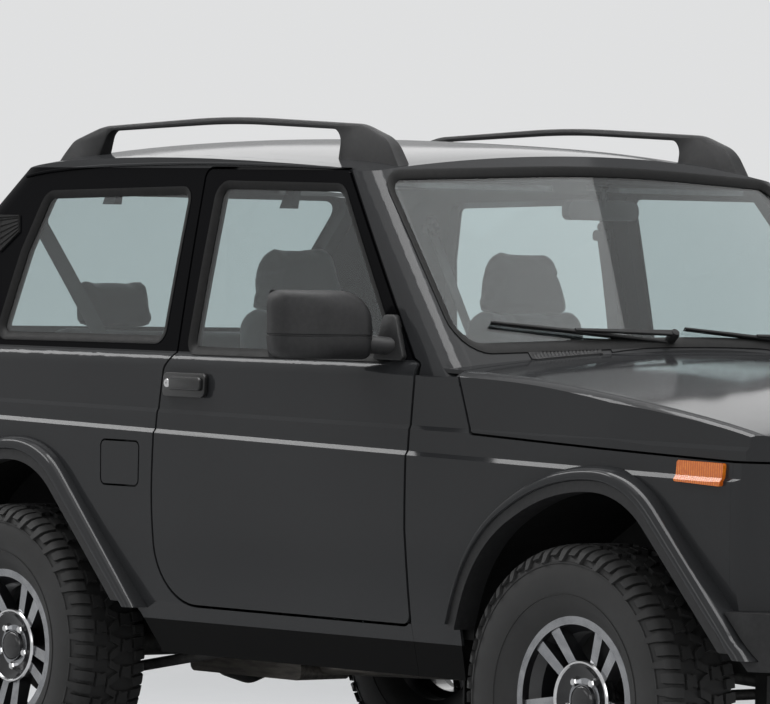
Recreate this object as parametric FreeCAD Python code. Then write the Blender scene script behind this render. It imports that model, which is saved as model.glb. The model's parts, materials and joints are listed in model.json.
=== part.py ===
import FreeCAD, Part
import math
import os

# Lifted three-door off-road 4x4: a steel body shell with hinged doors, bonnet, tailgate and
# fuel flap, independent front suspension, a live rear axle and four 235/75 R15 tyres.
# Millimetres. +X forward, +Y to the driver's side (left), +Z up, origin on the ground
# under the middle of the overall length and width.

V = FreeCAD.Vector

# Overall layout
WHEELBASE = 2200.0
FRONT_OVERHANG = 718.0
REAR_OVERHANG = 822.0
LENGTH = WHEELBASE + FRONT_OVERHANG + REAR_OVERHANG
FRONT_AXLE = LENGTH / 2 - FRONT_OVERHANG
REAR_AXLE = FRONT_AXLE - WHEELBASE
TRACK = 1440.0
WHEEL_Y = TRACK / 2

# Clearances
SEAT_GAP = 0.3
RUNNING_FIT = 0.1
SHUT_GAP = 5.5
DOOR_GAP = 7.0

# Tyres and rims
TYRE_R = 364.0
TYRE_W = 235.0
CARCASS_R = 364.0
RIM_R = 190.5
FLANGE_R = RIM_R + 16.0
FLANGE_HALF = 82.0
BEAD_HALF = 76.0
AXLE_Z = TYRE_R
SPINDLE_R = 20.0
SPOKE_PAIRS = 5
SPOKE_PLAN = [(46, 5), (46, 27), (177, 48), (177, 18)]

# Body side, measured up from the ground at mid wheelbase
HALF_WIDTH = 812.0
SILL_BOTTOM = 385.0
SILL_TUCK = 40.0
DOOR_BOTTOM = 512.0
SIDE_BULGE_Z = 720.0
LOW_CREASE_Z = 926.0
HIGH_CREASE_Z = 982.0
CREASE_FALL = 0.021
CREASE_STEP = 7.0
SHOULDER_Z = 1088.0
BELT_Z = 1130.0
BELT_LEDGE = 22.0
WALL = 50.0
SKIN = 8.0
HOUSE_WALL = 38.0
SHEET = 4.0

# Nose and tail of the lower body, ahead of the front axle (negative is behind)
NOSE_X = 642.0
NOSE_CORNER_R = 115.0
NOSE_BOW = 36.0
TAIL_X = -WHEELBASE - 762.0
TAIL_CORNER_R = 110.0
TAIL_BULGE = 22.0
BONNET_REAR = -432.0
BONNET_FRONT_Z = 938.0

# Greenhouse
GLASS_BASE_Y = 782.0
GLASS_TOP_Y = 684.0
GLASS_TOP_Z = 1590.0
ROOF_Z = 1680.0
ROOF_EDGE_DROP = 93.0
SCREEN_BASE = -405.0
SCREEN_RAKE = 0.915
SCREEN_BOW = 75.0
SCREEN_CORNER_R = 75.0
TAIL_BASE = -WHEELBASE - 700.0
TAIL_RAKE = 1.04
TAIL_BOW = 42.0
HOUSE_CORNER_R = 150.0
ROOF_SEAM_Y = 640.0
HEADER_Z = 1562.0
GLASS_T = 5.0
GLASS_SET = 9.0

# Hinges
HINGE_PIN_R = 4.5
DOOR_HINGE_X = -564.0
DOOR_HINGE_Y = 793.0
BONNET_HINGE = (646.0, 928.0)
TAILGATE_HINGE = (-2398.0, 1606.0)

# Steering and front suspension
KINGPIN_Y = 630.0
KINGPIN_R = 20.0
DISC_R = 105.0
LOWER_BALL_Z = AXLE_Z - 118.0
UPPER_BALL_Z = AXLE_Z + 118.0
RAIL_Y = (330.0, 395.0)
RAIL_Z = (425.0, 505.0)
INNER_WING_Y = 405.0
SPRING_Y = 446.0
SPRING_X = 78.0
SPRING_R = 43.0
SPRING_COILS = 5
SPRING_FOOT_Z = 270.0
STEER_CENTRE = (-905.0, 360.0, 965.0)
STEER_RAKE = 28.0
STEER_WHEEL_R = 190.0

# Bumpers
BUMPER_Z = (470.0, 600.0)

# Floor tunnel: half width, top, rear end
TUNNEL = (165.0, 589.0, -1150.0)
SMALL_TUNNEL = (60.0, 470.0)

# Outlines on the body side: distance ahead of the front axle, height, corner radius
DOOR_OUTLINE = [
    (-592, 509, 22), (-607, 735, 300), (-606, 930, 300), (-594, 1126, 6), (-622, 1137, 6),
    (-990, 1588, 32), (-1541, 1589, 22), (-1523, 1133, 12), (-1556, 1090, 30), (-1572, 960, 600),
    (-1579, 760, 1200), (-1560, 511, 165),
]
DOOR_GLASS = [
    (-1474, 1546, 30), (-1002, 1541, 45), (-690, 1142, 16), (-1474, 1142, 22),
]
QUARTER_GLASS = [
    (-1598, 1531, 24), (-2176, 1517, 34), (-2232, 1372, 60), (-2276, 1163, 24), (-1598, 1166, 24),
]
FRONT_OPENING = [
    (-420, 300), (-408, 520), (-345, 722, 380), (-60, 878, 560), (205, 876, 275), (640, 430), (640, 300),
]
REAR_OPENING = [
    (-WHEELBASE - 420, 300), (-WHEELBASE - 408, 500), (-WHEELBASE - 345, 710, 380),
    (-WHEELBASE - 70, 872, 480), (-WHEELBASE + 175, 870, 260), (-WHEELBASE + 560, 480),
    (-WHEELBASE + 620, 395), (-WHEELBASE + 620, 300),
]
FRONT_FLARE = [
    (-408, 520), (-374, 722, 380), (-72, 914, 560), (215, 911, 290), (627, 494),
]
REAR_FLARE = [
    (-WHEELBASE - 408, 500), (-WHEELBASE - 374, 715, 380), (-WHEELBASE - 80, 908, 500),
    (-WHEELBASE + 190, 905, 275), (-WHEELBASE + 592, 494),
]
FLARE_Y = 848.0
LIP_W = 26.0
LIP_Y = 840.0
BONNET_EDGE = [(-700, 1300), (-700, 1106), (-430, 1106), (-426, 1093), (-378, 971, 12), (73, 953, 400),
               (505, BONNET_FRONT_Z), (900, BONNET_FRONT_Z), (900, 1300)]
FUEL_FLAP = [(-1787, 905, 14), (-1636, 905, 14), (-1637, 798, 14), (-1785, 798, 14)]

# Plan trim of the body side: distance ahead of the front axle, loss of half width
LOWER_STATIONS = [
    (-WHEELBASE - 800, 32.0),
    (-WHEELBASE - 400, 8.0),
    (-WHEELBASE + 600, 0.0),
    (-600, 0.0),
    (100, 5.0),
    (700, 30.0),
]
# Bonnet crown: distance ahead of the front axle, height in the middle, at the shoulder, shoulder y
BONNET_STATIONS = [
    (-700, 1190.0, 1132.0, 786.0),
    (-430, 1163.0, 1115.0, 784.0),
    (25, 1122.0, 1083.0, 781.0),
    (366, 1072.0, 1036.0, 774.0),
    (560, 1030.0, 1000.0, 768.0),
    (720, 975.0, 950.0, 762.0),
]
# Roof line along the car: distance ahead of the front axle, drop of the roof below its top
ROOF_STATIONS = [
    (-300, 320.0),
    (-500, 190.0),
    (-850, 47.0),
    (-1200, 14.0),
    (-1700, 0.0),
    (-2100, 8.0),
    (-2350, 40.0),
    (-2520, 110.0),
    (-2700, 220.0),
    (-3020, 420.0),
]


def fx(distance):
    """X of a place given as its distance ahead of the front axle."""
    return FRONT_AXLE + distance


# Outlines and simple solids

def rounded_outline(corners, place):
    """Closed wire through corners (u, v) or (u, v, radius), tangent arcs at the radii."""
    count = len(corners)
    starts, ends, middles = [], [], []
    for i in range(count):
        here = V(corners[i][0], corners[i][1], 0)
        radius = corners[i][2] if len(corners[i]) > 2 else 0
        if radius <= 0:
            starts.append(here)
            ends.append(here)
            middles.append(None)
            continue
        before = V(corners[i - 1][0], corners[i - 1][1], 0) - here
        after = V(corners[(i + 1) % count][0], corners[(i + 1) % count][1], 0) - here
        before.normalize()
        after.normalize()
        half = before.getAngle(after) / 2
        reach = radius / math.tan(half)
        centre = here + (before + after).normalize() * (radius / math.sin(half))
        starts.append(here + before * reach)
        ends.append(here + after * reach)
        middles.append(centre + (here - centre).normalize() * radius)
    edges = []
    for i in range(count):
        if middles[i] is not None:
            edges.append(Part.Arc(*[place(p.x, p.y) for p in (starts[i], middles[i], ends[i])]).toShape())
        a, b = ends[i], starts[(i + 1) % count]
        if (b - a).Length > 0.01:
            edges.append(Part.LineSegment(place(a.x, a.y), place(b.x, b.y)).toShape())
    return Part.Wire(edges)


def side_prism(corners, y0, y1, grow=0.0):
    """Outline on the body side, extruded from y0 to y1; grow widens it all round."""
    wire = rounded_outline(corners, lambda u, v: V(fx(u), y0, v))
    if grow:
        wire = wire.makeOffset2D(grow)
    return Part.Face(wire).extrude(V(0, y1 - y0, 0))


def front_prism(corners, d0, d1, grow=0.0):
    """Outline in Y and Z, extruded between two distances ahead of the front axle."""
    wire = rounded_outline(corners, lambda u, v: V(fx(d0), u, v))
    if grow:
        wire = wire.makeOffset2D(grow)
    return Part.Face(wire).extrude(V(d1 - d0, 0, 0))


def plan_prism(corners, z0, z1):
    """Outline in X and Y, extruded from z0 to z1."""
    wire = rounded_outline(corners, lambda u, v: V(fx(u), v, z0))
    return Part.Face(wire).extrude(V(0, 0, z1 - z0))


def block(d0, d1, y0, y1, z0, z1):
    """Box between two distances ahead of the front axle."""
    return Part.makeBox(abs(d1 - d0), abs(y1 - y0), abs(z1 - z0), V(fx(min(d0, d1)), min(y0, y1), min(z0, z1)))


def rod(start, end, radius):
    """Round bar between two points whose first number is the distance ahead of the front axle."""
    a, b = V(fx(start[0]), start[1], start[2]), V(fx(end[0]), end[1], end[2])
    return Part.makeCylinder(radius, (b - a).Length, a, b - a)


def mirrored(shape):
    """The same piece on the other side of the car."""
    return shape.mirror(V(0, 0, 0), V(0, 1, 0))


def fused(first, *others):
    shape = first.fuse(list(others)) if others else first
    return shape.removeSplitter()


def biggest(shape):
    """The main solid of a cut, without slivers."""
    return max(shape.Solids, key=lambda s: s.Volume)


def save(name, *solids):
    """Write one node: separate solids as one compound."""
    pieces = []
    for s in solids:
        pieces.extend(s.Solids)
    shape = pieces[0] if len(pieces) == 1 else Part.makeCompound(pieces)
    shape.exportStep("parts/" + name + ".step")


# Body form: the outer surface of the lower body, the bonnet and the greenhouse at any inset

def side_profile(x, trim, inset):
    """Points up the body side at one station: (y, z)."""
    w = HALF_WIDTH - trim - inset
    fall = (x - fx(-WHEELBASE / 2)) * CREASE_FALL
    low = LOW_CREASE_Z - fall
    high = HIGH_CREASE_Z - fall * 0.5
    return [
        (w - SILL_TUCK, SILL_BOTTOM),
        (w - 12, DOOR_BOTTOM),
        (w, SIDE_BULGE_Z),
        (w + 2, low - 5),
        (w + 2 - CREASE_STEP, low + 5),
        (w + 1 - CREASE_STEP, high - 5),
        (w - 3 - CREASE_STEP, high + 5),
        (w - 6 - CREASE_STEP, SHOULDER_Z),
        (w - BELT_LEDGE + 4, BELT_Z - 14),
        (w - BELT_LEDGE - 6, BELT_Z),
    ]


def lower_section(x, trim, inset):
    right = [V(x, -y, z) for y, z in side_profile(x, trim, inset)]
    left = [V(x, -p.y, p.z) for p in reversed(right)]
    runs = [(0, 1), (1, 2, 3), (3, 4), (4, 5), (5, 6), (6, 7), (7, 8, 9)]
    last = len(right) - 1
    edges = []
    for pts, order in ((right, runs), (left, [tuple(last - k for k in reversed(r)) for r in reversed(runs)])):
        for run in order:
            p = [pts[k] for k in run]
            edges.append((Part.Arc(*p) if len(p) == 3 else Part.LineSegment(*p)).toShape())
        if pts is right:
            edges.append(Part.LineSegment(right[-1], left[0]).toShape())
    edges.append(Part.LineSegment(left[-1], right[0]).toShape())
    return Part.Wire(edges)


def ends_form(inset):
    """Plan and side trim of the nose and tail."""
    wide = 900.0
    nose = NOSE_X - inset
    tail = TAIL_X + inset
    nr = NOSE_CORNER_R - inset * 0.5
    tr = TAIL_CORNER_R - inset * 0.5
    side = HALF_WIDTH - 27 - inset
    plan = plan_prism([
        (tail + TAIL_BULGE, -side - 6, tr), (-WHEELBASE - 300, -side - 35), (-WHEELBASE, -wide), (-300, -wide),
        (150, -side - 34), (nose - NOSE_BOW, -side - 1, nr), (nose, 0, 4000), (nose - NOSE_BOW, side + 1, nr),
        (150, side + 34), (-300, wide), (-WHEELBASE, wide), (-WHEELBASE - 300, side + 35),
        (tail + TAIL_BULGE, side + 6, tr), (tail, 0, 6000),
    ], 300, 1300)
    profile = side_prism([
        (tail, 300), (tail, 930, 300), (tail + 26, BELT_Z - inset * 0.2 + 2, 18), (tail + 300, BELT_Z + 2),
        (-800, 1300), (300, 1300), (nose - 22, 1064, 60), (nose, 860, 500), (nose, 300),
    ], -wide, wide)
    return plan.common(profile)


def lower_form(inset):
    """Lower body with its flat belt top."""
    wires = [lower_section(fx(d), trim, inset) for d, trim in LOWER_STATIONS]
    return Part.makeLoft(wires, True, False).common(ends_form(inset))


def bonnet_section(d, mid, edge, y, inset):
    x = fx(d)
    y, mid, edge = y + 18 - inset, mid - inset, edge - inset
    r = 30.0
    k = r * (1 - math.sqrt(0.5))
    return Part.Wire([
        Part.LineSegment(V(x, y, 700), V(x, -y, 700)).toShape(),
        Part.LineSegment(V(x, -y, 700), V(x, -y, edge - r)).toShape(),
        Part.Arc(V(x, -y, edge - r), V(x, -y + k, edge - k), V(x, -y + r, edge + 1)).toShape(),
        Part.Arc(V(x, -y + r, edge + 1), V(x, 0, mid), V(x, y - r, edge + 1)).toShape(),
        Part.Arc(V(x, y - r, edge + 1), V(x, y - k, edge - k), V(x, y, edge - r)).toShape(),
        Part.LineSegment(V(x, y, edge - r), V(x, y, 700)).toShape(),
    ])


def tall_section(x, trim, inset):
    """Body side carried straight up past the shoulder, for the bonnet."""
    w = HALF_WIDTH - trim - inset
    pts = side_profile(x, trim, inset)[3:8] + [(w - 16, 1250)]
    right = [V(x, -y, z) for y, z in pts]
    left = [V(x, -p.y, p.z) for p in reversed(right)]
    return Part.makePolygon(right + left + [right[0]])


def bonnet_form(inset):
    """Crowned upper body ahead of the windscreen."""
    crown = Part.makeLoft([bonnet_section(*s, inset) for s in BONNET_STATIONS], True, False)
    sides = Part.makeLoft([tall_section(fx(d), t, inset) for d, t in LOWER_STATIONS[3:]], True, True)
    return crown.common(sides).common(ends_form(inset))


def glass_y(z):
    """Half width of the greenhouse at height z: it leans in, a little more towards the roof."""
    share = (z - BELT_Z) / (GLASS_TOP_Z - BELT_Z)
    return GLASS_BASE_Y - (GLASS_BASE_Y - GLASS_TOP_Y) * (0.9 * share + 0.1 * share * share)


def house_outline(z, inset):
    """Plan outline of the greenhouse at height z."""
    y = glass_y(z) - inset
    front = fx(SCREEN_BASE - SCREEN_RAKE * (z - BELT_Z)) - inset * 1.3
    back = fx(TAIL_BASE + TAIL_RAKE * (z - BELT_Z)) + inset * 1.35
    fr = SCREEN_CORNER_R - inset * 0.6
    br = HOUSE_CORNER_R - inset * 0.6
    fcx, fcy = front - SCREEN_BOW - fr * 1.16, y - fr
    bcx, bcy = back + TAIL_BOW + br, y - br
    c = math.sqrt(0.5)

    def arc(*points):
        return Part.Arc(*[V(u, v, z) for u, v in points]).toShape()

    def line(p, q):
        return Part.LineSegment(V(p[0], p[1], z), V(q[0], q[1], z)).toShape()

    return Part.Wire([
        line((bcx, -y), (fcx, -y)),
        arc((fcx, -y), (fcx + fr * c, -fcy - fr * c), (fcx + fr, -fcy)),
        arc((fcx + fr, -fcy), (front, 0), (fcx + fr, fcy)),
        arc((fcx + fr, fcy), (fcx + fr * c, fcy + fr * c), (fcx, y)),
        line((fcx, y), (bcx, y)),
        arc((bcx, y), (bcx - br * c, bcy + br * c), (bcx - br, bcy)),
        arc((bcx - br, bcy), (back, 0), (bcx - br, -bcy)),
        arc((bcx - br, -bcy), (bcx - br * c, -bcy - br * c), (bcx, -y)),
    ])


def crown_form(inset):
    """Everything below the crowned roof surface at this inset."""
    wires = []
    for d, drop in ROOF_STATIONS:
        top = ROOF_Z - drop - inset
        x, reach, edge, low = fx(d), 830.0, top - ROOF_EDGE_DROP, BELT_Z - 60
        wires.append(Part.Wire([
            Part.Arc(V(x, -reach, edge), V(x, 0, top), V(x, reach, edge)).toShape(),
            Part.LineSegment(V(x, reach, edge), V(x, reach, low)).toShape(),
            Part.LineSegment(V(x, reach, low), V(x, -reach, low)).toShape(),
            Part.LineSegment(V(x, -reach, low), V(x, -reach, edge)).toShape(),
        ]))
    return Part.makeLoft(wires, True, False)


HOUSE_LEVELS = [BELT_Z - 34, BELT_Z + 100, BELT_Z + 300, GLASS_TOP_Z, ROOF_Z + 60]


def house_form(inset):
    """Solid bounded by the greenhouse at this inset, windows not yet cut."""
    wires = [house_outline(z, inset) for z in HOUSE_LEVELS]
    return Part.makeLoft(wires, True, False).common(crown_form(inset))


os.makedirs("parts", exist_ok=True)

L_OUT, L_SKIN, L_WALL = lower_form(0), lower_form(SKIN), lower_form(WALL)
B_OUT, B_SKIN = bonnet_form(0), bonnet_form(SKIN)
H_OUT, H_WALL = house_form(0), house_form(HOUSE_WALL)
LOWER_WALL = L_OUT.cut(L_WALL)
LOWER_SKIN = L_OUT.cut(L_SKIN)
HOUSE = H_OUT.cut(H_WALL)
GLASS_WALL = house_form(GLASS_SET).cut(house_form(GLASS_SET + GLASS_T))

SCREEN_OPENING = [(-712, 1160, 60), (-638, 1580, 60), (0, 1606, 6000), (638, 1580, 60), (712, 1160, 60),
                  (0, 1186, 6000)]
TAIL_OPENING = [(-572, 612, 40), (-600, 900, 900), (-592, 1130, 200), (-532, 1590, 16), (532, 1590, 16),
                (592, 1130, 200), (600, 900, 900), (572, 612, 40)]
TAIL_GLASS = [(-540, 1170, 60), (-490, 1530, 60), (490, 1530, 60), (540, 1170, 60)]
TAILGATE_AXIS = (-2395.0, 1590.0)
TAILGATE_SWEEP_R = 57.0
TAIL_SEAM_Y = 655.0
A_POST = (-588.0, -505.0)
POST_TOP_Z = BELT_Z - 30
DOOR_HINGE_HEIGHTS = (640.0, 880.0)
DOOR_HEM = 9.0
BARREL_R = 8.0

screen_cut = front_prism(SCREEN_OPENING, -965, -300)
tail_cut = front_prism(TAIL_OPENING, -3050, -2200)
tail_cut = tail_cut.cut(Part.makeCylinder(TAILGATE_SWEEP_R - 6, 1400, V(fx(TAILGATE_AXIS[0]), -700, TAILGATE_AXIS[1]), V(0, 1, 0)))
roof_region = block(-2700, -700, -ROOF_SEAM_Y, ROOF_SEAM_Y, HEADER_Z, 1800)
scuttle_region = block(-660, -300, -714, 714, 1000, 1200)


def door_axis(side, z0, z1, radius):
    """Vertical cylinder on a door's hinge axis; side is -1 on the right, 1 on the left."""
    return Part.makeCylinder(radius, z1 - z0, V(fx(DOOR_HINGE_X), side * DOOR_HINGE_Y, z0))


# Body side with sill, posts and rear quarter

def body_side():
    quarter = LOWER_WALL.common(block(-3050, -640, -900, -TAIL_SEAM_Y, 300, 1200))
    sill = LOWER_WALL.common(block(-641, -586, -900, -TAIL_SEAM_Y, 300, 510))
    post = L_SKIN.cut(L_WALL).common(block(-641, A_POST[1], -900, -TAIL_SEAM_Y, 300, POST_TOP_Z))
    high = HOUSE.common(block(-3050, -300, -900, -480, BELT_Z - 34, 1800))
    high = high.cut(roof_region).cut(scuttle_region).cut(screen_cut)
    side = quarter.fuse([sill, post, high])
    side = side.cut(side_prism(DOOR_OUTLINE, -900, -590, DOOR_GAP))
    side = side.cut(side_prism(REAR_OPENING, -900, -640))
    side = side.cut(side_prism(QUARTER_GLASS, -900, -590, 8))
    side = side.cut(tail_cut)
    for z in DOOR_HINGE_HEIGHTS:
        side = side.cut(block(A_POST[0] - 12, -546, -804.5, -742, z - 30, z + 30))
    side = biggest(side)
    for z in DOOR_HINGE_HEIGHTS:
        side = side.fuse(door_axis(-1, z - 31, z + 31, HINGE_PIN_R))
    return side


side_right = body_side()
side_left = mirrored(side_right)

# Fuel filler pocket, right side only
FLAP_AXIS = (-1620.0, -803.0)
FLAP_T = 5.0
pocket = side_prism(FUEL_FLAP, -900, -776, 5.0)
undercut = block(-1642, -1611, -808.5, -776, 816, 888)
side_right = side_right.cut(pocket).cut(undercut)
side_right = side_right.fuse(Part.makeCylinder(2.5, 76, V(fx(FLAP_AXIS[0]), FLAP_AXIS[1], 814)))
side_right = side_right.fuse(rod((-1715, -770, 851), (-1715, -796, 848), 24))
save("side_panel_right", side_right)
save("side_panel_left", side_left)

flap = L_OUT.common(side_prism(FUEL_FLAP, -900, -776))
backing = flap.copy()
backing.translate(V(0, FLAP_T, 0))
flap = flap.cut(backing)
ax, ay = FLAP_AXIS
strap = [block(ax - 27, ax + 3, ay + 13, ay + 17, 834, 870), block(ax - 3, ax + 3, ay + 3, ay + 17, 834, 870),
         block(ax - 27, ax - 22, ay - 8, ay + 17, 834, 870)]
barrel = Part.makeCylinder(4.5, 36, V(fx(ax), ay, 834))
flap = fused(biggest(flap), barrel, *strap).cut(Part.makeCylinder(2.5 + RUNNING_FIT, 36, V(fx(ax), ay, 834)))
save("fuel_flap", flap)

# Roof with its front and rear headers
roof = biggest(HOUSE.common(roof_region).cut(screen_cut).cut(tail_cut))
save("roof_panel", roof)

# Doors: outer skin, inner frame and hinge straps in one piece

def door():
    low = LOWER_WALL.common(block(-1700, -520, -900, -600, 300, 1200))
    high = HOUSE.common(block(-1700, -520, -900, -ROOF_SEAM_Y - DOOR_GAP, BELT_Z - 34, 1800))
    leaf = low.fuse(high).common(side_prism(DOOR_OUTLINE, -900, -560))
    leaf = leaf.cut(side_prism(DOOR_GLASS, -900, -560, 8))
    leaf = biggest(leaf)
    inner = side_prism([(-720, 600, 40), (-720, 1040, 40), (-1480, 1040, 40), (-1480, 700, 40), (-1400, 600, 40)],
                       -775, -600)
    armrest = side_prism([(-900, 800, 20), (-1330, 800, 20), (-1330, 850, 15), (-900, 840, 15)], -775, -735)
    leaf = leaf.cut(inner.cut(armrest))
    hem = [(d - DOOR_HEM, z, *r) for d, z, *r in DOOR_OUTLINE[:3]] + [(-594 - DOOR_HEM, 1126), (-540, 1126), (-540, 505)]
    leaf = leaf.cut(side_prism(hem, -900, -560).common(L_SKIN))
    for z in DOOR_HINGE_HEIGHTS:
        hx, hy = DOOR_HINGE_X, -DOOR_HINGE_Y
        leaf = leaf.fuse([
            door_axis(-1, z - 24, z + 24, BARREL_R),
            block(hx - 5, hx + 5, hy + 6, hy + 37, z - 22, z + 22),
            block(hx - 62, hx + 5, hy + 29, hy + 37, z - 22, z + 22),
            block(hx - 62, hx - 48, hy + 18, hy + 37, z - 22, z + 22),
        ])
        leaf = leaf.cut(door_axis(-1, z - 24, z + 24, HINGE_PIN_R + RUNNING_FIT))
    return biggest(leaf)


door_right = door()
save("door_right", door_right)
save("door_left", mirrored(door_right))

glass = biggest(GLASS_WALL.common(side_prism(DOOR_GLASS, -900, -560, 8 - SEAT_GAP)))
save("door_glass_right", glass)
save("door_glass_left", mirrored(glass))

# Windscreen and quarter glasses
windscreen = biggest(GLASS_WALL.common(front_prism(SCREEN_OPENING, -1000, -300, -SEAT_GAP)))
quarter = biggest(GLASS_WALL.common(side_prism(QUARTER_GLASS, -900, -560, 8 - SEAT_GAP)))
save("fixed_glass", windscreen, quarter, mirrored(quarter))

# Mirrors and outer handles
MIRROR = (-640.0, 1136.0, 1296.0)
MIRROR_Y = (-835.0, -1040.0)
HANDLE = (-1542.0, -1374.0, 1022.0, 1084.0)


def mirror_and_handle():
    m1, z0, z1 = MIRROR
    near, far = MIRROR_Y
    head = plan_prism([(m1 - 50, near, 40), (m1 - 72, far + 35, 80), (m1 - 178, far, 30), (m1 - 178, near - 15, 25)], z0, z1)
    head = head.common(front_prism([(far, z0, 45), (far, z1, 60), (near, z1, 35), (near, z0, 35)], m1 - 200, m1))
    head = head.common(side_prism([(m1 - 178, z0, 12), (m1 - 178, z1, 12), (m1 - 50, z1, 60), (m1 - 50, z0, 60)],
                                  far - 20, near + 20))
    glass_pocket = block(m1 - 190, m1 - 168, far + 25, near - 27, z0 + 18, z1 - 18)
    foot = side_prism([(m1 - 6, z0 - 4, 8), (m1 - 54, z0 + 94, 20), (m1 - 100, z0 + 94, 20), (m1 - 118, z0 - 4, 8)],
                      near - 25, -700)
    foot = foot.cut(house_form(-0.5))
    foot = biggest(foot.cut(L_OUT))
    h0, h1, a0, a1 = HANDLE
    plate = side_prism([(h0, a0, 12), (h1, a0, 12), (h1, a1, 12), (h0, a1, 12)], -812, -700).cut(L_OUT)
    grip = side_prism([(h0 + 8, a0 + 14, 8), (h1 - 40, a0 + 14, 8), (h1 - 40, a0 + 40, 8), (h0 + 8, a0 + 40, 8)],
                      -828, -806)
    return fused(head.cut(glass_pocket), foot), fused(biggest(plate), grip)


mirror, handle = mirror_and_handle()
save("door_fittings_right", mirror, handle)
save("door_fittings_left", mirrored(mirror), mirrored(handle))

# Front wings
wing = LOWER_SKIN.common(block(A_POST[0] - 12, 509, -900, -640, 370, 1200))
wing = wing.cut(side_prism(DOOR_OUTLINE, -900, -600, DOOR_GAP + 1))
wing = wing.cut(block(-700, -592 + DOOR_GAP, -900, -600, 300, 530))
wing = wing.cut(side_prism(FRONT_OPENING, -900, -600))
wing = wing.cut(side_prism(BONNET_EDGE, -900, -600, SHUT_GAP))
wing = wing.cut(block(-429, 600, -900, -600, 1080, 1300))
for z in DOOR_HINGE_HEIGHTS:
    wing = wing.cut(door_axis(-1, z - 32, z + 32, BARREL_R + 3))
wing = biggest(wing)
save("front_wing_right", wing)
save("front_wing_left", mirrored(wing))

# Bonnet, hinged at its front edge
bonnet = B_OUT.cut(B_SKIN).common(side_prism(BONNET_EDGE, -900, 900))
bonnet = bonnet.common(block(BONNET_REAR, 900, -900, 900, 900, 1300))
bonnet = biggest(bonnet)
BX, BZ = BONNET_HINGE
BONNET_HINGE_Y = 330.0
for side in (-1, 1):
    y = side * BONNET_HINGE_Y
    tongue = block(BX - 22, BX, y - 12, y + 12, BZ + 1, BZ + 9).fuse(block(BX - 24, BX - 13, y - 12, y + 12, BZ + 1, BZ + 30))
    bonnet = bonnet.fuse([tongue, Part.makeCylinder(8, 24, V(fx(BX), y - 12, BZ), V(0, 1, 0))])
    bonnet = bonnet.cut(Part.makeCylinder(4 + RUNNING_FIT, 24, V(fx(BX), y - 12, BZ), V(0, 1, 0)))
save("bonnet", biggest(bonnet))

# Nose panel with lamp and grille openings
NOSE_WALL = 24.0
LAMP = (586.0, 756.0, 86.0)
SIGNAL = (522.0, 704.0, 908.0, 980.0)
GRILLE_OUTLINE = [(-704, 640, 100), (704, 640, 100), (704, 872, 100), (-704, 872, 100)]
L_NOSE = lower_form(NOSE_WALL)
L_PROUD = lower_form(-10)
LENS = bonnet_form(-3).cut(bonnet_form(18))

nose = L_OUT.cut(L_NOSE).common(block(509.3, 900, -900, 900, 520, BONNET_FRONT_Z - SHUT_GAP))
nose = nose.cut(front_prism([(-455, 668, 20), (455, 668, 20), (455, 846, 20), (-455, 846, 20)], 500, 700))
nose = nose.cut(front_prism([(-300, 540, 15), (300, 540, 15), (300, 600, 15), (-300, 600, 15)], 500, 700))
y0, y1, z0, z1 = SIGNAL
for side in (-1, 1):
    nose = nose.cut(Part.makeCylinder(LAMP[2] + SEAT_GAP, 300, V(fx(450), side * LAMP[0], LAMP[1]), V(1, 0, 0)))
    nose = nose.cut(block(500, 700, side * (y0 - SEAT_GAP), side * (y1 + SEAT_GAP), z0 - SEAT_GAP, z1))
nose = nose.cut(side_prism(FRONT_OPENING, -900, 900))
nose = biggest(nose)
for side in (-1, 1):
    y = side * BONNET_HINGE_Y
    for off in (-20, 12.5):
        ear = block(BX - 24, BX, y + off, y + off + 7.5, BZ - 16, BZ + 1)
        ear = ear.fuse(Part.makeCylinder(8, 7.5, V(fx(BX), y + off, BZ), V(0, 1, 0)))
        nose = nose.fuse(ear)
    nose = nose.cut(block(BX - 32, BX + 9, y - 12.4, y + 12.4, BZ - 13, BONNET_FRONT_Z))
    nose = nose.fuse(Part.makeCylinder(4, 40, V(fx(BX), y - 20, BZ), V(0, 1, 0)))
save("nose_panel", biggest(nose))

# Amber front signals and side repeaters
REPEATER = [(341, 934, 6), (489, 931, 6), (484, 879, 6), (337, 886, 6)]
lenses = []
for side in (-1, 1):
    lens = LENS.common(block(500, 700, side * y0, side * y1, z0, z1))
    lenses.append(biggest(lens))
repeater = biggest(L_PROUD.cut(L_OUT).common(side_prism(REPEATER, -900, -700)))
save("indicators", *lenses, repeater, mirrored(repeater))

# Grille surround with slats, lamp rings included
grille = L_PROUD.cut(L_OUT).common(front_prism(GRILLE_OUTLINE, 480, 760))
for side in (-1, 1):
    grille = grille.cut(Part.makeCylinder(LAMP[2] + SEAT_GAP, 300, V(fx(450), side * LAMP[0], LAMP[1]), V(1, 0, 0)))
for row in range(4):
    z = 680 + row * 40
    grille = grille.cut(front_prism([(-448, z, 8), (448, z, 8), (448, z + 22, 8), (-448, z + 22, 8)], 500, 800))
save("grille", biggest(grille))

# Headlamps: glass dome on a bowl
def headlamp(side):
    y, z, r = side * LAMP[0], LAMP[1], LAMP[2]
    dome = 210.0
    body = Part.makeCylinder(r, 76, V(fx(556), y, z), V(1, 0, 0))
    ball = Part.makeSphere(dome, V(fx(632 - dome), y, z))
    bowl = Part.makeCone(40, r - 4, 40, V(fx(520), y, z), V(1, 0, 0))
    return body.common(ball).fuse(bowl)


save("headlamps", headlamp(-1), headlamp(1))

# Notch the bonnet's lip round the signals
for side in (-1, 1):
    bonnet = bonnet.cut(block(480, 760, side * (y0 - SHUT_GAP), side * (y1 + SHUT_GAP), 880, z1 + SHUT_GAP))
save("bonnet", biggest(bonnet))

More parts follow.
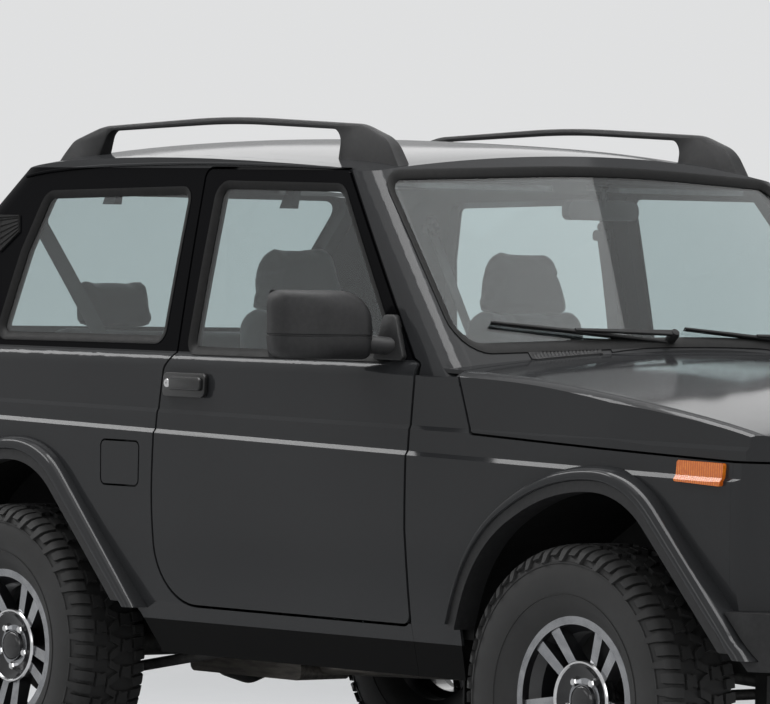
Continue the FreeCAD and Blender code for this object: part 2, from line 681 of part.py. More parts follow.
# Scuttle and firewall
scuttle_top = B_OUT.cut(B_SKIN).common(block(-640, BONNET_REAR - SHUT_GAP, -773, 773, POST_TOP_Z + SEAT_GAP, 1250)).cut(H_OUT)
band = HOUSE.common(scuttle_region).common(block(-700, BONNET_REAR - 8, -900, 900, 1000, 1250)).cut(screen_cut)
firewall = B_SKIN.common(L_SKIN.fuse(block(-470, -440, -760, 760, 1129, 1250)))
firewall = firewall.common(block(-457, -447, -900, 900, 440, 1250))
low_firewall = L_SKIN.common(block(-457, -447, -900, 900, 412, 701))
scuttle = fused(scuttle_top, band, firewall, low_firewall).cut(block(-480, -430, -TUNNEL[0] + 5.5, TUNNEL[0] - 5.5, 400, TUNNEL[1] - 5.5))
save("scuttle", biggest(scuttle))

# Tail panel round the tailgate opening
tail = LOWER_WALL.common(block(-3050, -2860, -TAIL_SEAM_Y, TAIL_SEAM_Y, 385, 1140)).cut(tail_cut)
tail = tail.cut([side_right, side_left])
save("tail_panel", biggest(tail))

# Tailgate, hinged under the rear edge of the roof
ARM_Y = 300.0
tx, tz = TAILGATE_AXIS
gate = fused(LOWER_WALL.common(block(-3050, -2860, -640, 640, 500, 1140)),
             HOUSE.common(block(-3050, -2380, -640, 640, BELT_Z - 34, 1600)))
gate = gate.common(front_prism(TAIL_OPENING, -3050, -2200, -SHUT_GAP))
gate = gate.cut(Part.makeCylinder(TAILGATE_SWEEP_R, 1400, V(fx(tx), -700, tz), V(0, 1, 0)))
gate = gate.cut(block(-2600, -2000, -700, 700, tz - 8, 1700))
gate = gate.cut(front_prism(TAIL_GLASS, -3050, -2200, 8))
gate = biggest(gate)
for side in (-1, 1):
    y = side * ARM_Y
    arm = side_prism([(tx - 10, tz - 2), (tx + 11, tz - 2), (tx - 8, tz - 88), (tx - 62, tz - 88), (tx - 42, tz - 52)],
                     y - 11, y + 11)
    arm = arm.common(H_OUT)
    hub = Part.makeCylinder(11, 22, V(fx(tx), y - 11, tz), V(0, 1, 0))
    gate = gate.fuse([arm, hub]).cut(Part.makeCylinder(HINGE_PIN_R + RUNNING_FIT, 22, V(fx(tx), y - 11, tz), V(0, 1, 0)))
    roof = roof.cut(block(tx - 75, tx + 17, y - 16.5, y + 16.5, tz - 60, tz + 16.5))
    roof = roof.fuse(Part.makeCylinder(HINGE_PIN_R, 40, V(fx(tx), y - 20, tz), V(0, 1, 0)))
save("tailgate", biggest(gate))
save("roof_panel", biggest(roof))
rear_glass = biggest(GLASS_WALL.common(front_prism(TAIL_GLASS, -3050, -2200, 8 - SEAT_GAP)))
save("tailgate_glass", rear_glass)

lamp = L_PROUD.cut(L_OUT).common(block(-3050, -2830, -768, -622, 690, 1008))
save("tail_lamps", biggest(lamp), mirrored(biggest(lamp)))

# Wheel arch flares, their inner lips and the wheelhouse liners
INNER_WING_Y = 395.0
LINER_Y = 774.7
REAR_INNER_Y = 571.0
FRONT_LINER = [(-440, 430), (-440, 650, 170), (-72, 872, 205), (203, 870, 185), (585, 480), (585, 430)]
flares, lips, liners = [], [], []
for outline, opening in ((FRONT_FLARE, FRONT_OPENING), (REAR_FLARE, REAR_OPENING)):
    flare = side_prism(outline, -FLARE_Y, -690).cut(side_prism(opening, -900, -600)).cut(L_OUT)
    flares.append(biggest(flare))
    lip = side_prism(opening, -LIP_Y, -LINER_Y - SEAT_GAP, -SEAT_GAP)
    lip = lip.cut(side_prism(opening, -900, -600, -LIP_W)).common(block(-3000, 900, -900, -600, 508, 1000))
    lips.append(biggest(lip))
front_liner = side_prism(FRONT_LINER, -LINER_Y, -INNER_WING_Y - SEAT_GAP)
front_liner = front_liner.cut(side_prism(FRONT_LINER, -LINER_Y + SHEET, -300, -SHEET))
front_liner = front_liner.cut(side_prism(FRONT_OPENING, -900, -300, -LIP_W + 2).common(block(-600, 800, -900, -LINER_Y + SHEET, 300, 1000)))
front_liner = front_liner.cut(block(-435, 700, -900, -300, 400, 482)).cut(block(-500, 700, -900, -300, 400, 436))
liners.append(biggest(front_liner))
rear_liner = side_prism(REAR_OPENING, -LINER_Y, -REAR_INNER_Y, -SEAT_GAP)
rear_liner = rear_liner.cut(side_prism(REAR_OPENING, -900, -REAR_INNER_Y - SHEET, -SHEET - SEAT_GAP))
rear_liner = rear_liner.cut(block(-2700, -1500, -900, -500, 370, 412))
rear_liner = rear_liner.cut(block(-WHEELBASE - 80, -WHEELBASE + 80, -600, -500, 370, 470))
liners.append(biggest(rear_liner))
save("arch_flares", *flares, *[mirrored(s) for s in flares])
save("arch_lips", *lips, *[mirrored(s) for s in lips])
save("arch_liners", *liners, *[mirrored(s) for s in liners])

# Bumpers: hollow shells that meet the body all along their flanges
def bumper(plan, z0, z1):
    shell = plan_prism(plan, z0, z1).cut(L_OUT)
    inner_wire = rounded_outline(plan, lambda u, v: V(fx(u), v, z0 + 16)).makeOffset2D(-16)
    inner = Part.Face(inner_wire).extrude(V(0, 0, z1 - z0 - 32))
    shell = shell.cut(inner)
    for outline in (FRONT_FLARE, FRONT_OPENING, REAR_FLARE, REAR_OPENING):
        shell = shell.cut(side_prism(outline, -900, 900, 1.5))
    return biggest(shell)


def bow_peak(radius, rise, run):
    """How far an arc of this radius passes inside the corner it rounds."""
    return radius * (math.hypot(rise, run) / run - 1)


BUMPER_HALF = 822.0
FRONT_BOW = 24.0
REAR_BOW = 26.0
bz0, bz1 = BUMPER_Z
nose_end = FRONT_OVERHANG + bow_peak(4500, FRONT_BOW, BUMPER_HALF)
tail_end = -WHEELBASE - REAR_OVERHANG - bow_peak(6500, REAR_BOW, BUMPER_HALF)
front_bumper = bumper([(470, -BUMPER_HALF), (nose_end - FRONT_BOW, -BUMPER_HALF, 125), (nose_end, 0, 4500),
                       (nose_end - FRONT_BOW, BUMPER_HALF, 125), (470, BUMPER_HALF)], bz0, bz1)
rear_bumper = bumper([(tail_end + 420, BUMPER_HALF), (tail_end + REAR_BOW, BUMPER_HALF, 120), (tail_end, 0, 6500),
                      (tail_end + REAR_BOW, -BUMPER_HALF, 120), (tail_end + 420, -BUMPER_HALF)], bz0, bz1)
save("bumpers", front_bumper, rear_bumper)

# Rubber mud flaps
flap_f = block(-446, -440 - SEAT_GAP, -754, -640, 262, 520)
flap_r = block(-WHEELBASE - 427, -WHEELBASE - 421, -712.7, -600, 262, 470)
save("mud_flaps", flap_f, mirrored(flap_f), flap_r, mirrored(flap_r))

# Roof rails
RAIL_BAR_Y = (551.0, 576.0)
rail = side_prism([(-895, 1560), (-960, 1672, 60), (-1075, 1704, 150), (-1593, 1725.5, 3500),
                   (-2120, 1700, 150), (-2245, 1658, 80), (-2345, 1560)], -RAIL_BAR_Y[1], -RAIL_BAR_Y[0])
under = side_prism([(-1165, 1540), (-1148, 1690, 35), (-1593, 1707, 3500), (-2090, 1688, 35), (-2150, 1540)],
                   -RAIL_BAR_Y[1], -RAIL_BAR_Y[0])
rail = rail.cut(under).cut(H_OUT)
save("roof_rails", biggest(rail), mirrored(biggest(rail)))

# Floor, tunnel and rear floor
FLOOR_Z = (400.0, 412.0)
LOAD_FLOOR_Z = (640.0, 652.0)
HEEL_X = -1700.0
LOAD_TRAY = (-2880.0, -2350.0, -530.0, 530.0)
arch_rear = side_prism(REAR_OPENING, -900, -REAR_INNER_Y + SEAT_GAP)
arches = [arch_rear, mirrored(arch_rear)]
low_floor = L_WALL.common(block(HEEL_X, -446, -900, 900, FLOOR_Z[0], FLOOR_Z[1]))
low_floor = low_floor.cut(block(-457 - SEAT_GAP, -440, -900, 900, 399, 413))
load_floor = L_WALL.common(block(-2980, HEEL_X, -900, 900, LOAD_FLOOR_Z[0], LOAD_FLOOR_Z[1]))
heel = L_WALL.common(block(HEEL_X, HEEL_X + 12, -900, 900, FLOOR_Z[0], LOAD_FLOOR_Z[1]))
tunnel = block(TUNNEL[2], -457 - SEAT_GAP, -TUNNEL[0], TUNNEL[0], FLOOR_Z[0], TUNNEL[1])
small = block(HEEL_X, TUNNEL[2], -SMALL_TUNNEL[0], SMALL_TUNNEL[0], FLOOR_Z[0], SMALL_TUNNEL[1])
tray = block(*LOAD_TRAY, LOAD_FLOOR_Z[1] - 1, LOAD_FLOOR_Z[1] + 8)
floor = fused(low_floor, load_floor, heel, tunnel, small, tray)
floor = floor.cut(block(TUNNEL[2] + 6, 0, -TUNNEL[0] + 6, TUNNEL[0] - 6, 390, TUNNEL[1] - 6))
floor = floor.cut(block(HEEL_X - 20, TUNNEL[2] + 10, -SMALL_TUNNEL[0] + 6, SMALL_TUNNEL[0] - 6, 390, SMALL_TUNNEL[1] - 6))
floor = floor.cut(arches)
save("floor_pan", biggest(floor))

# Front structure: rails, crossmember, inner wings and spring towers
SUB_TOP = 278.7
cross = block(-165, 165, -296, 296, 240, SUB_TOP)
pieces = [block(540, 640, -INNER_WING_Y, INNER_WING_Y, 440, 560).common(L_NOSE)]
for side in (-1, 1):
    pieces.append(block(-446, 545, side * RAIL_Y[0], side * RAIL_Y[1], RAIL_Z[0], RAIL_Z[1]))
    pieces.append(block(-446, 545, side * (INNER_WING_Y - 8), side * INNER_WING_Y, RAIL_Z[0], 880))
    pieces.append(block(SPRING_X - 47, SPRING_X + 47, side * (INNER_WING_Y - 4), side * 498, 640, 700))
    for d in (-165, 125):
        pieces.append(block(d, d + 40, side * 290, side * 345, 240, RAIL_Z[0] + 5))
sub = fused(cross, *pieces)
save("front_structure", biggest(sub))

# Front suspension arms and rear trailing arms
def wishbones():
    out = []
    lower = [rod((d, -345.3, 262), (0, -612, 234), 12) for d in (-150, 150)]
    lower.append(Part.makeCylinder(24, 23.7, V(fx(0), -KINGPIN_Y, LOWER_BALL_Z - 24)))
    lower.append(Part.makeCylinder(SPRING_R + 3, 20, V(fx(SPRING_X), -SPRING_Y, SPRING_FOOT_Z - 20)))
    lower = fused(*lower).common(block(-300, 300, -900, -345.3, 200, 300))
    lower = lower.cut(Part.makeCylinder(60, 60, V(fx(0), -KINGPIN_Y, LOWER_BALL_Z - SEAT_GAP)))
    upper = [rod((d, -395.3, 483), (0, -612, 494), 10) for d in (-110, -8)]
    upper.append(Part.makeCylinder(22, 22, V(fx(0), -KINGPIN_Y, UPPER_BALL_Z + SEAT_GAP)))
    upper = fused(*upper).common(block(-300, 300, -900, -395.3, 440, 530))
    upper = upper.cut(Part.makeCylinder(60, 60, V(fx(0), -KINGPIN_Y, UPPER_BALL_Z + SEAT_GAP - 60)))
    return biggest(lower), biggest(upper)


arm_low, arm_up = wishbones()
trailing = fused(rod((-WHEELBASE, -500, 284), (-1668, -500, 374), 14), block(-1690, -1646, -520, -480, 360, 400 - SEAT_GAP),
                 block(-WHEELBASE - 18, -WHEELBASE + 18, -520, -480, 268, 327.5))
trailing = trailing.cut(Part.makeCylinder(36 + SEAT_GAP, 200, V(fx(-WHEELBASE), -600, AXLE_Z), V(0, 1, 0)))
save("suspension_arms", *[s for p in (arm_low, arm_up, biggest(trailing)) for s in (p, mirrored(p))])

# Coil springs round their dampers
def spring(d, y, z0, z1):
    """Coil modelled as a ribbed sleeve on its damper."""
    pitch = (z1 - z0 - 12) / SPRING_COILS
    profile = [(0, z0), (SPRING_R, z0), (SPRING_R, z0 + 6)]
    for k in range(SPRING_COILS):
        base = z0 + 6 + k * pitch
        profile += [(SPRING_R, base + 0.2 * pitch), (SPRING_R - 18, base + 0.4 * pitch),
                    (SPRING_R - 18, base + 0.6 * pitch), (SPRING_R, base + 0.8 * pitch)]
    profile += [(SPRING_R, z1), (0, z1)]
    wire = Part.makePolygon([V(r, 0, z) for r, z in profile + [profile[0]]])
    coil = Part.Face(wire).revolve(V(0, 0, 0), V(0, 0, 1), 360)
    coil.translate(V(fx(d), y, 0))
    return coil


spring_f = spring(SPRING_X, -SPRING_Y, SPRING_FOOT_Z + SEAT_GAP, 640 - SEAT_GAP)
spring_r = spring(-WHEELBASE, -440, 401 + SEAT_GAP, LOAD_FLOOR_Z[0] - SEAT_GAP)
save("springs", spring_f, mirrored(spring_f), spring_r, mirrored(spring_r))

# Steering knuckles with hub spindles
def knuckle():
    axis = V(0, -1, 0)
    parts = [
        Part.makeCylinder(KINGPIN_R, UPPER_BALL_Z - LOWER_BALL_Z, V(fx(0), -KINGPIN_Y, LOWER_BALL_Z)),
        Part.makeCylinder(58, 36, V(fx(0), -604, AXLE_Z), axis),
        Part.makeCylinder(30, 40, V(fx(0), -566, AXLE_Z), axis),
        Part.makeCylinder(DISC_R, 12, V(fx(0), -650, AXLE_Z), axis),
        Part.makeCylinder(45, 30, V(fx(0), -634, AXLE_Z), axis),
        Part.makeCylinder(SPINDLE_R, 130, V(fx(0), -620, AXLE_Z), axis),
        block(-130, 0, -628, -604, AXLE_Z - 12, AXLE_Z + 12),
    ]
    return fused(*parts)


knuckle_right = knuckle()
save("knuckle_right", knuckle_right)
save("knuckle_left", mirrored(knuckle_right))

# Engine, gearbox, shafts, rear axle and exhaust
engine = fused(side_prism([(-60, 500, 20), (-60, 760, 20), (0, 880, 30), (400, 880, 30), (430, 700, 20), (430, 480, 20)], -190, 190),
               block(60, 160, -RAIL_Y[0], RAIL_Y[0], 460, 520))
save("engine_block", engine)
gearbox = fused(Part.makeCylinder(140, 150, V(fx(-240), 0, 540), V(1, 0, 0)),
                Part.makeCylinder(82, 420, V(fx(-630), 0, 500), V(1, 0, 0)))
transfer = fused(side_prism([(-1010, 378, 30), (-1010, 570, 40), (-790, 570, 40), (-790, 378, 30)], -105, 105),
                 block(-940, -860, -158.7, 158.7, 440, 470))
save("gearbox", gearbox, transfer)
driveline = [
    rod((-790, 0, 500), (-630, 0, 500), 24),
    rod((-790, 0, 404), (-80, 0, 372), 20),
    rod((-1011.7, 0, 420), (-WHEELBASE + 151.7, 0, 366), 26),
]
diff = fused(Part.makeCylinder(84.5, 200, V(fx(0), -100, AXLE_Z), V(0, 1, 0)), driveline[1],
             *[Part.makeCylinder(13, 452, V(fx(0), s * 100, AXLE_Z), V(0, s, 0)) for s in (-1, 1)])
save("driveline", driveline[0], diff, driveline[2])

diff_profile = [(0, -118), (62, -106), (100, -62), (118, 0), (100, 62), (62, 106), (0, 118)]
diff_housing = Part.Face(Part.makePolygon([V(r, o, 0) for r, o in diff_profile + [diff_profile[0]]]))
diff_housing = diff_housing.revolve(V(0, 0, 0), V(0, 1, 0), 360)
diff_housing.translate(V(fx(-WHEELBASE), 0, AXLE_Z))
axle_parts = [
    Part.makeCylinder(36, 1280, V(fx(-WHEELBASE), -640, AXLE_Z), V(0, 1, 0)),
    diff_housing,
    Part.makeCone(80, 40, 110, V(fx(-WHEELBASE + 40), 0, AXLE_Z), V(1, 0, 0)),
]
for side in (-1, 1):
    axle_parts.append(Part.makeCylinder(125, 22, V(fx(-WHEELBASE), side * 640, AXLE_Z), V(0, side, 0)))
    axle_parts.append(Part.makeCylinder(SPINDLE_R, 110, V(fx(-WHEELBASE), side * 640, AXLE_Z), V(0, side, 0)))
    axle_parts.append(block(-WHEELBASE - 52, -WHEELBASE + 52, side * 388, side * 492, 380, 401))
rear_axle = fused(*axle_parts)
save("rear_axle", rear_axle)

pipes = [
    rod((-300, -250, 376), (-1520, -300, 340), 20),
    side_prism([(-1960, 305, 18), (-1510, 305, 18), (-1510, 357, 18), (-1960, 357, 18)], -380, -220),
    rod((-1950, -300, 345), (-2080, -300, 470), 18),
    rod((-2070, -300, 462), (-2340, -300, 462), 18),
    rod((-2330, -300, 466), (-2460, -400, 405), 18),
    rod((-2450, -397, 405), (-2930, -420, 350), 18),
    block(-1620, -1600, -310, -290, 350, 400 - SEAT_GAP),
]
save("exhaust", fused(*pipes))

# Dashboard, steering wheel and column
dash = side_prism([(-520, 1085), (-520, 770), (-640, 770, 30), (-782, 900, 60), (-796, 1010, 40), (-705, 1090, 40),
                   (-560, BELT_Z - 34.5, 30)], -900, 900).common(L_WALL)
dash = dash.cut(block(-900, -545, -900, -728, 700, 1200)).cut(block(-900, -545, 728, 900, 700, 1200))
sx, sy, sz = STEER_CENTRE
rake = math.radians(STEER_RAKE)
down = V(math.cos(rake), 0, -math.sin(rake))
centre = V(fx(sx), sy, sz)
shroud = Part.makeCylinder(38, 130, centre + down * 62, down)
dash = fused(dash, shroud).cut(Part.makeCylinder(12 + RUNNING_FIT, 110, centre + down * 61, down))
save("dashboard", biggest(dash))


def steering_wheel():
    ring = [V(STEER_WHEEL_R - 14 + 14 * math.cos(math.radians(a)), 0, 14 * math.sin(math.radians(a)))
            for a in range(0, 361, 36)]
    rim = Part.Face(Part.makePolygon(ring)).revolve(V(0, 0, 0), V(0, 0, 1), 360)
    hub = Part.makeCylinder(46, 36, V(0, 0, 12))
    spokes = [Part.makeBox(STEER_WHEEL_R - 20, 34, 12, V(0, -17, 6)) for _ in range(3)]
    for i, s in enumerate(spokes):
        s.rotate(V(0, 0, 0), V(0, 0, 1), (-90, 20, 160)[i])
    shaft = Part.makeCylinder(12, 120, V(0, 0, 40))
    wheel = fused(rim, hub, shaft, *spokes)
    wheel.rotate(V(0, 0, 0), V(0, 1, 0), 90 + STEER_RAKE)
    wheel.translate(centre)
    return wheel


save("steering_wheel", steering_wheel())

# Seats: soft solids with the real outline
SEAT_Y = (140.0, 610.0)
cushion = side_prism([(-940, 590, 30), (-940, 726, 55), (-1390, 700, 20), (-1510, 700, 12), (-1510, 590, 12)],
                     -SEAT_Y[1], -SEAT_Y[0])
back = side_prism([(-1402, 700 + SEAT_GAP, 10), (-1500, 700 + SEAT_GAP, 20), (-1612, 1250, 60), (-1496, 1270, 50), (-1452, 1000, 200)],
                  -SEAT_Y[1] + 8, -SEAT_Y[0] - 8)
rest = side_prism([(-1505, 1225, 10), (-1595, 1225, 10), (-1606, 1402, 34), (-1528, 1402, 34)], -500, -250)
seat = fused(back, rest)
base = block(-1370, -990, -560, -190, FLOOR_Z[1], 590 - 0.5).cut(block(-1430, -930, -520, -230, 400, 570))
base = base.cut(block(-1310, -1050, -600, -150, 400, 560))
save("front_seats", cushion, seat, mirrored(cushion), mirrored(seat))
save("seat_frames", base, mirrored(base))
REAR_SEAT_Y = 560.0
bench = side_prism([(-1735, LOAD_FLOOR_Z[1], 10), (-1735, 810, 60), (-2215, 770, 20), (-2215, LOAD_FLOOR_Z[1], 10)],
                   -REAR_SEAT_Y, REAR_SEAT_Y)
bench_back = side_prism([(-2216, LOAD_FLOOR_Z[1], 5), (-2330, LOAD_FLOOR_Z[1], 10), (-2425, 1180, 50), (-2300, 1200, 45)],
                        -REAR_SEAT_Y, REAR_SEAT_Y)
rests = [side_prism([(-2330, 1150, 10), (-2400, 1150, 10), (-2430, 1310, 35), (-2355, 1310, 35)], s * 330 - 120, s * 330 + 120)
         for s in (-1, 1)]
save("rear_seat", bench, fused(bench_back, *rests))

# Wipers parked along the bottom of the windscreen
def screen_x(y, z, lift):
    """Distance ahead of the front axle of a point lifted off the windscreen."""
    reach = glass_y(z) - SCREEN_CORNER_R
    return SCREEN_BASE - SCREEN_RAKE * (z - BELT_Z) - 87.0 * (y / reach) ** 2 + lift


def wiper(y0, z0, y1, z1):
    path = [(y0 + (y1 - y0) * k / 4, z0 + (z1 - z0) * k / 4) for k in range(5)]
    pts = [(screen_x(y, z, 24), y, z + 10) for y, z in path]
    bars = [rod(pts[k], pts[k + 1], 5) for k in range(4)]
    d = screen_x(y0, z0, 0)
    pivot = Part.makeCylinder(9, 60, V(fx(d) - 20, y0, z0 - 22), V(0.67, 0, 0.74)).cut(H_OUT)
    return biggest(fused(*bars, biggest(pivot)))


save("wipers", wiper(-100, 1178, -590, 1222), wiper(480, 1166, -30, 1212))

# Wheels
def revolved(profile, y_side):
    """Ring from (radius, outward offset) points about a wheel's axle, outward towards -Y."""
    wire = Part.makePolygon([V(r, -o, 0) for r, o in profile + [profile[0]]])
    return Part.Face(wire).revolve(V(0, 0, 0), V(0, 1, 0), 360)


def tyre():
    half = TYRE_W / 2
    outer = [(RIM_R + SEAT_GAP, BEAD_HALF - 16), (RIM_R + SEAT_GAP, BEAD_HALF - SEAT_GAP),
             (FLANGE_R + SEAT_GAP, BEAD_HALF + 1 - SEAT_GAP), (FLANGE_R + 3, 84), (240, 106),
             (275, half), (312, half - 3), (336, half - 14), (CARCASS_R - 3, half - 26), (CARCASS_R, 40), (CARCASS_R, 0)]
    inner = [(CARCASS_R - 18, 0), (CARCASS_R - 20, 80), (310, 98), (275, 100), (235, 88), (RIM_R + 22, 68)]
    ring = outer + inner
    return revolved(outer[:-1] + [(r, -o) for r, o in reversed(outer[:-1])] + [(r, -o) for r, o in reversed(inner[1:])] + inner[1:], 0)


def rim():
    flange = [(FLANGE_R, FLANGE_HALF), (FLANGE_R, FLANGE_HALF - 5), (RIM_R, BEAD_HALF), (RIM_R, 56), (168, 40), (168, -12),
              (186, -34), (RIM_R, -56), (RIM_R, -BEAD_HALF), (FLANGE_R, -FLANGE_HALF + 5), (FLANGE_R, -FLANGE_HALF),
              (199, -FLANGE_HALF), (183, -BEAD_HALF + 4), (183, -52), (179, -30), (161, -8), (161, 38), (178, 62), (178, FLANGE_HALF)]
    barrel = revolved(flange, 0)
    hub = Part.makeCylinder(62, 52, V(0, 5, 0), V(0, -1, 0))
    cap = Part.makeCylinder(38, 10, V(0, -46, 0), V(0, -1, 0))
    spokes = []
    for pair in range(SPOKE_PAIRS):
        for lean in (-1, 1):
            bar = Part.Face(Part.makePolygon([V(50, 0, 0), V(50, -44, 0), V(176, -74, 0), V(176, -46, 0), V(120, -26, 0), V(50, 0, 0)]))
            taper = Part.Face(Part.makePolygon([V(r, -90, lean * w) for r, w in SPOKE_PLAN + SPOKE_PLAN[:1]]))
            bar.translate(V(0, 0, min(0, lean * 60)))
            spoke = bar.extrude(V(0, 0, 60)).common(taper.extrude(V(0, 110, 0)))
            spoke.rotate(V(0, 0, 0), V(0, 1, 0), 90 + pair * 360 / SPOKE_PAIRS)
            spokes.append(spoke)
    wheel = fused(barrel, hub, cap, *spokes)
    return biggest(wheel.cut(Part.makeCylinder(SPINDLE_R + RUNNING_FIT, 45, V(0, 10, 0), V(0, -1, 0))))


TYRE, RIM = tyre(), rim()
for name, d, side in (("fr", 0, -1), ("fl", 0, 1), ("rr", -WHEELBASE, -1), ("rl", -WHEELBASE, 1)):
    for kind, shape in (("tyre_", TYRE), ("rim_", RIM)):
        piece = shape.copy() if side < 0 else mirrored(shape)
        piece.translate(V(fx(d), side * WHEEL_Y, AXLE_Z))
        save(kind + name, piece)
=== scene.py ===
import math

import bmesh
import bpy
from mathutils import Matrix, Vector
from mathutils.bvhtree import BVHTree
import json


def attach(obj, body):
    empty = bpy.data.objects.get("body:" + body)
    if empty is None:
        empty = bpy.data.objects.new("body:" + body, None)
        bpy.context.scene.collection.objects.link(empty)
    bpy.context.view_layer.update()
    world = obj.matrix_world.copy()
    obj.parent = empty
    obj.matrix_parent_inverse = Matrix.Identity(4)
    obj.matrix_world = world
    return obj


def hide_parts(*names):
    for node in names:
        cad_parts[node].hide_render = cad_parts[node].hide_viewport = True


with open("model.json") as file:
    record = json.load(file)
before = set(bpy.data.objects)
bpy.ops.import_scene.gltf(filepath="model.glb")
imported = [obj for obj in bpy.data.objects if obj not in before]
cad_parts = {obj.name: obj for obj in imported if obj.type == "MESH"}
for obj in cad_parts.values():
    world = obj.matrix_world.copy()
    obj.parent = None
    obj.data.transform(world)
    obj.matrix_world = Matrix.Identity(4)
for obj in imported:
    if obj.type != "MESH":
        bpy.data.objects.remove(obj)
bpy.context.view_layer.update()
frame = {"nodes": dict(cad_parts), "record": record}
NODES = frame["nodes"]
SCENE = bpy.context.scene

# Places on the car are written in millimetres: d ahead of the front axle, y to the left, z up.
# Shaders, lights and the camera take metres, with x ahead of the frame's origin.
MM = 0.001
TURN = 2 * math.pi
FRONT_AXLE = 1152.0
WHEELBASE = 2200.0
WHEEL_Y = 720.0
AXLE_Z = 364.0
TYRE_R = 364.0
BELT_Z = 1130.0
GLASS_TOP_Z = 1590.0
HOUSE_BASE_Y = 782.0
HOUSE_TOP_Y = 684.0

SIDES = (("right", -1), ("left", 1))
WHEELS = (("fl", 0, 1), ("fr", 0, -1), ("rl", -WHEELBASE, 1), ("rr", -WHEELBASE, -1))

# Window outlines: corners with their radius, (d, z) at the sides and (y, z) at front and rear
DOOR_GLASS = [(-1474, 1546, 30), (-1002, 1541, 45), (-690, 1142, 16), (-1474, 1142, 22)]
QUARTER_GLASS = [(-1598, 1531, 24), (-2176, 1517, 34), (-2232, 1372, 60), (-2276, 1163, 24),
                 (-1598, 1166, 24)]
SCREEN = [(-712, 1160, 60), (-638, 1580, 60), (0, 1606, 6000), (638, 1580, 60), (712, 1160, 60),
          (0, 1186, 6000)]
TAIL_GLASS = [(-540, 1170, 60), (-490, 1530, 60), (490, 1530, 60), (540, 1170, 60)]


def at(d, y, z):
    """Point in metres from a place on the car in millimetres."""
    return Vector((FRONT_AXLE + d, y, z)) * MM


# Shader helpers

def grey(tone):
    return tone, tone, tone


def new_material(name):
    mat = bpy.data.materials.new(name)
    mat.use_nodes = True
    return mat, mat.node_tree, mat.node_tree.nodes["Principled BSDF"]


def add(tree, kind, **values):
    node = tree.nodes.new(kind)
    for key, value in values.items():
        setattr(node, key, value)
    return node


def give(node, **values):
    """Set a node's own sockets; an underscore in a key stands for a space."""
    for key, value in values.items():
        node.inputs[key.replace("_", " ")].default_value = value


def link(tree, source, node, name):
    tree.links.new(source, node.inputs[name])


def coords(tree, output="Object"):
    return add(tree, "ShaderNodeTexCoord").outputs[output]


def noise_tex(tree, scale, detail=3.0, rough=0.5, stretch=None):
    tex = add(tree, "ShaderNodeTexNoise")
    give(tex, Scale=scale, Detail=detail, Roughness=rough)
    source = coords(tree)
    if stretch:
        mapping = add(tree, "ShaderNodeMapping")
        give(mapping, Scale=stretch)
        link(tree, source, mapping, "Vector")
        source = mapping.outputs["Vector"]
    link(tree, source, tex, "Vector")
    return tex.outputs["Fac"]


def voronoi(tree, scale):
    tex = add(tree, "ShaderNodeTexVoronoi")
    give(tex, Scale=scale)
    link(tree, coords(tree), tex, "Vector")
    return tex.outputs["Distance"]


def ramp(tree, source, stops, interpolation="LINEAR"):
    node = add(tree, "ShaderNodeValToRGB")
    node.color_ramp.interpolation = interpolation
    elements = node.color_ramp.elements
    while len(elements) < len(stops):
        elements.new(0.5)
    for element, (place, colour) in zip(elements, stops):
        element.position = place
        element.color = (*colour, 1.0)
    link(tree, source, node, "Fac")
    return node.outputs["Color"]


def calc(tree, operation, *inputs):
    """Math node on numbers and sockets."""
    node = add(tree, "ShaderNodeMath", operation=operation)
    for k, value in enumerate(inputs):
        if isinstance(value, (int, float)):
            node.inputs[k].default_value = value
        else:
            link(tree, value, node, k)
    return node.outputs["Value"]


def wave(tree, place, rate):
    return calc(tree, "SINE", calc(tree, "MULTIPLY", place, rate))


def distance(tree, a, b):
    return calc(tree, "SQRT", calc(tree, "ADD", calc(tree, "MULTIPLY", a, a), calc(tree, "MULTIPLY", b, b)))


def blend_colour(tree, factor, first, second):
    node = add(tree, "ShaderNodeMix", data_type="RGBA")
    link(tree, factor, node, "Factor")
    for socket, value in (("A", first), ("B", second)):
        target = [s for s in node.inputs if s.name == socket and s.type == "RGBA"][0]
        if isinstance(value, tuple):
            target.default_value = (*value, 1.0)
        else:
            tree.links.new(value, target)
    return [s for s in node.outputs if s.type == "RGBA"][0]


def bump(tree, shader, source, strength, reach):
    node = add(tree, "ShaderNodeBump")
    give(node, Strength=strength, Distance=reach)
    link(tree, source, node, "Height")
    link(tree, node.outputs["Normal"], shader, "Normal")


def position(tree, output="Object"):
    """X, Y and Z of the point on the car, in metres, or of another set of coordinates."""
    node = add(tree, "ShaderNodeSeparateXYZ")
    link(tree, coords(tree, output), node, "Vector")
    return node.outputs


# Materials

def plain(name, dark, light, rough, scale=60.0, grain=0.0, grain_scale=900.0, metallic=0.0,
          stretch=None, rough_spread=0.08, specular=0.5):
    """Two close tones mixed by noise, with roughness spread and a fine grain."""
    mat, tree, shader = new_material(name)
    spots = noise_tex(tree, scale, 4.0, 0.6, stretch)
    link(tree, ramp(tree, spots, [(0.3, dark), (0.7, light)]), shader, "Base Color")
    spread = add(tree, "ShaderNodeMapRange")
    give(spread, To_Min=rough - rough_spread, To_Max=rough + rough_spread)
    link(tree, noise_tex(tree, scale * 0.4, 2.0), spread, "Value")
    link(tree, spread.outputs["Result"], shader, "Roughness")
    give(shader, Metallic=metallic, Specular_IOR_Level=specular)
    if grain:
        bump(tree, shader, noise_tex(tree, grain_scale, 2.0), grain, 0.0006)
    return mat


PAINT_DARK = (0.02, 0.0205, 0.0215)
PAINT_LIGHT = (0.05, 0.051, 0.053)
FRAME_BLACK = (0.0035, 0.0035, 0.004)
# Colour of the lower sill, black below SILL_TOP_Z
LOWER_SILL_BLACK = grey(0.005)

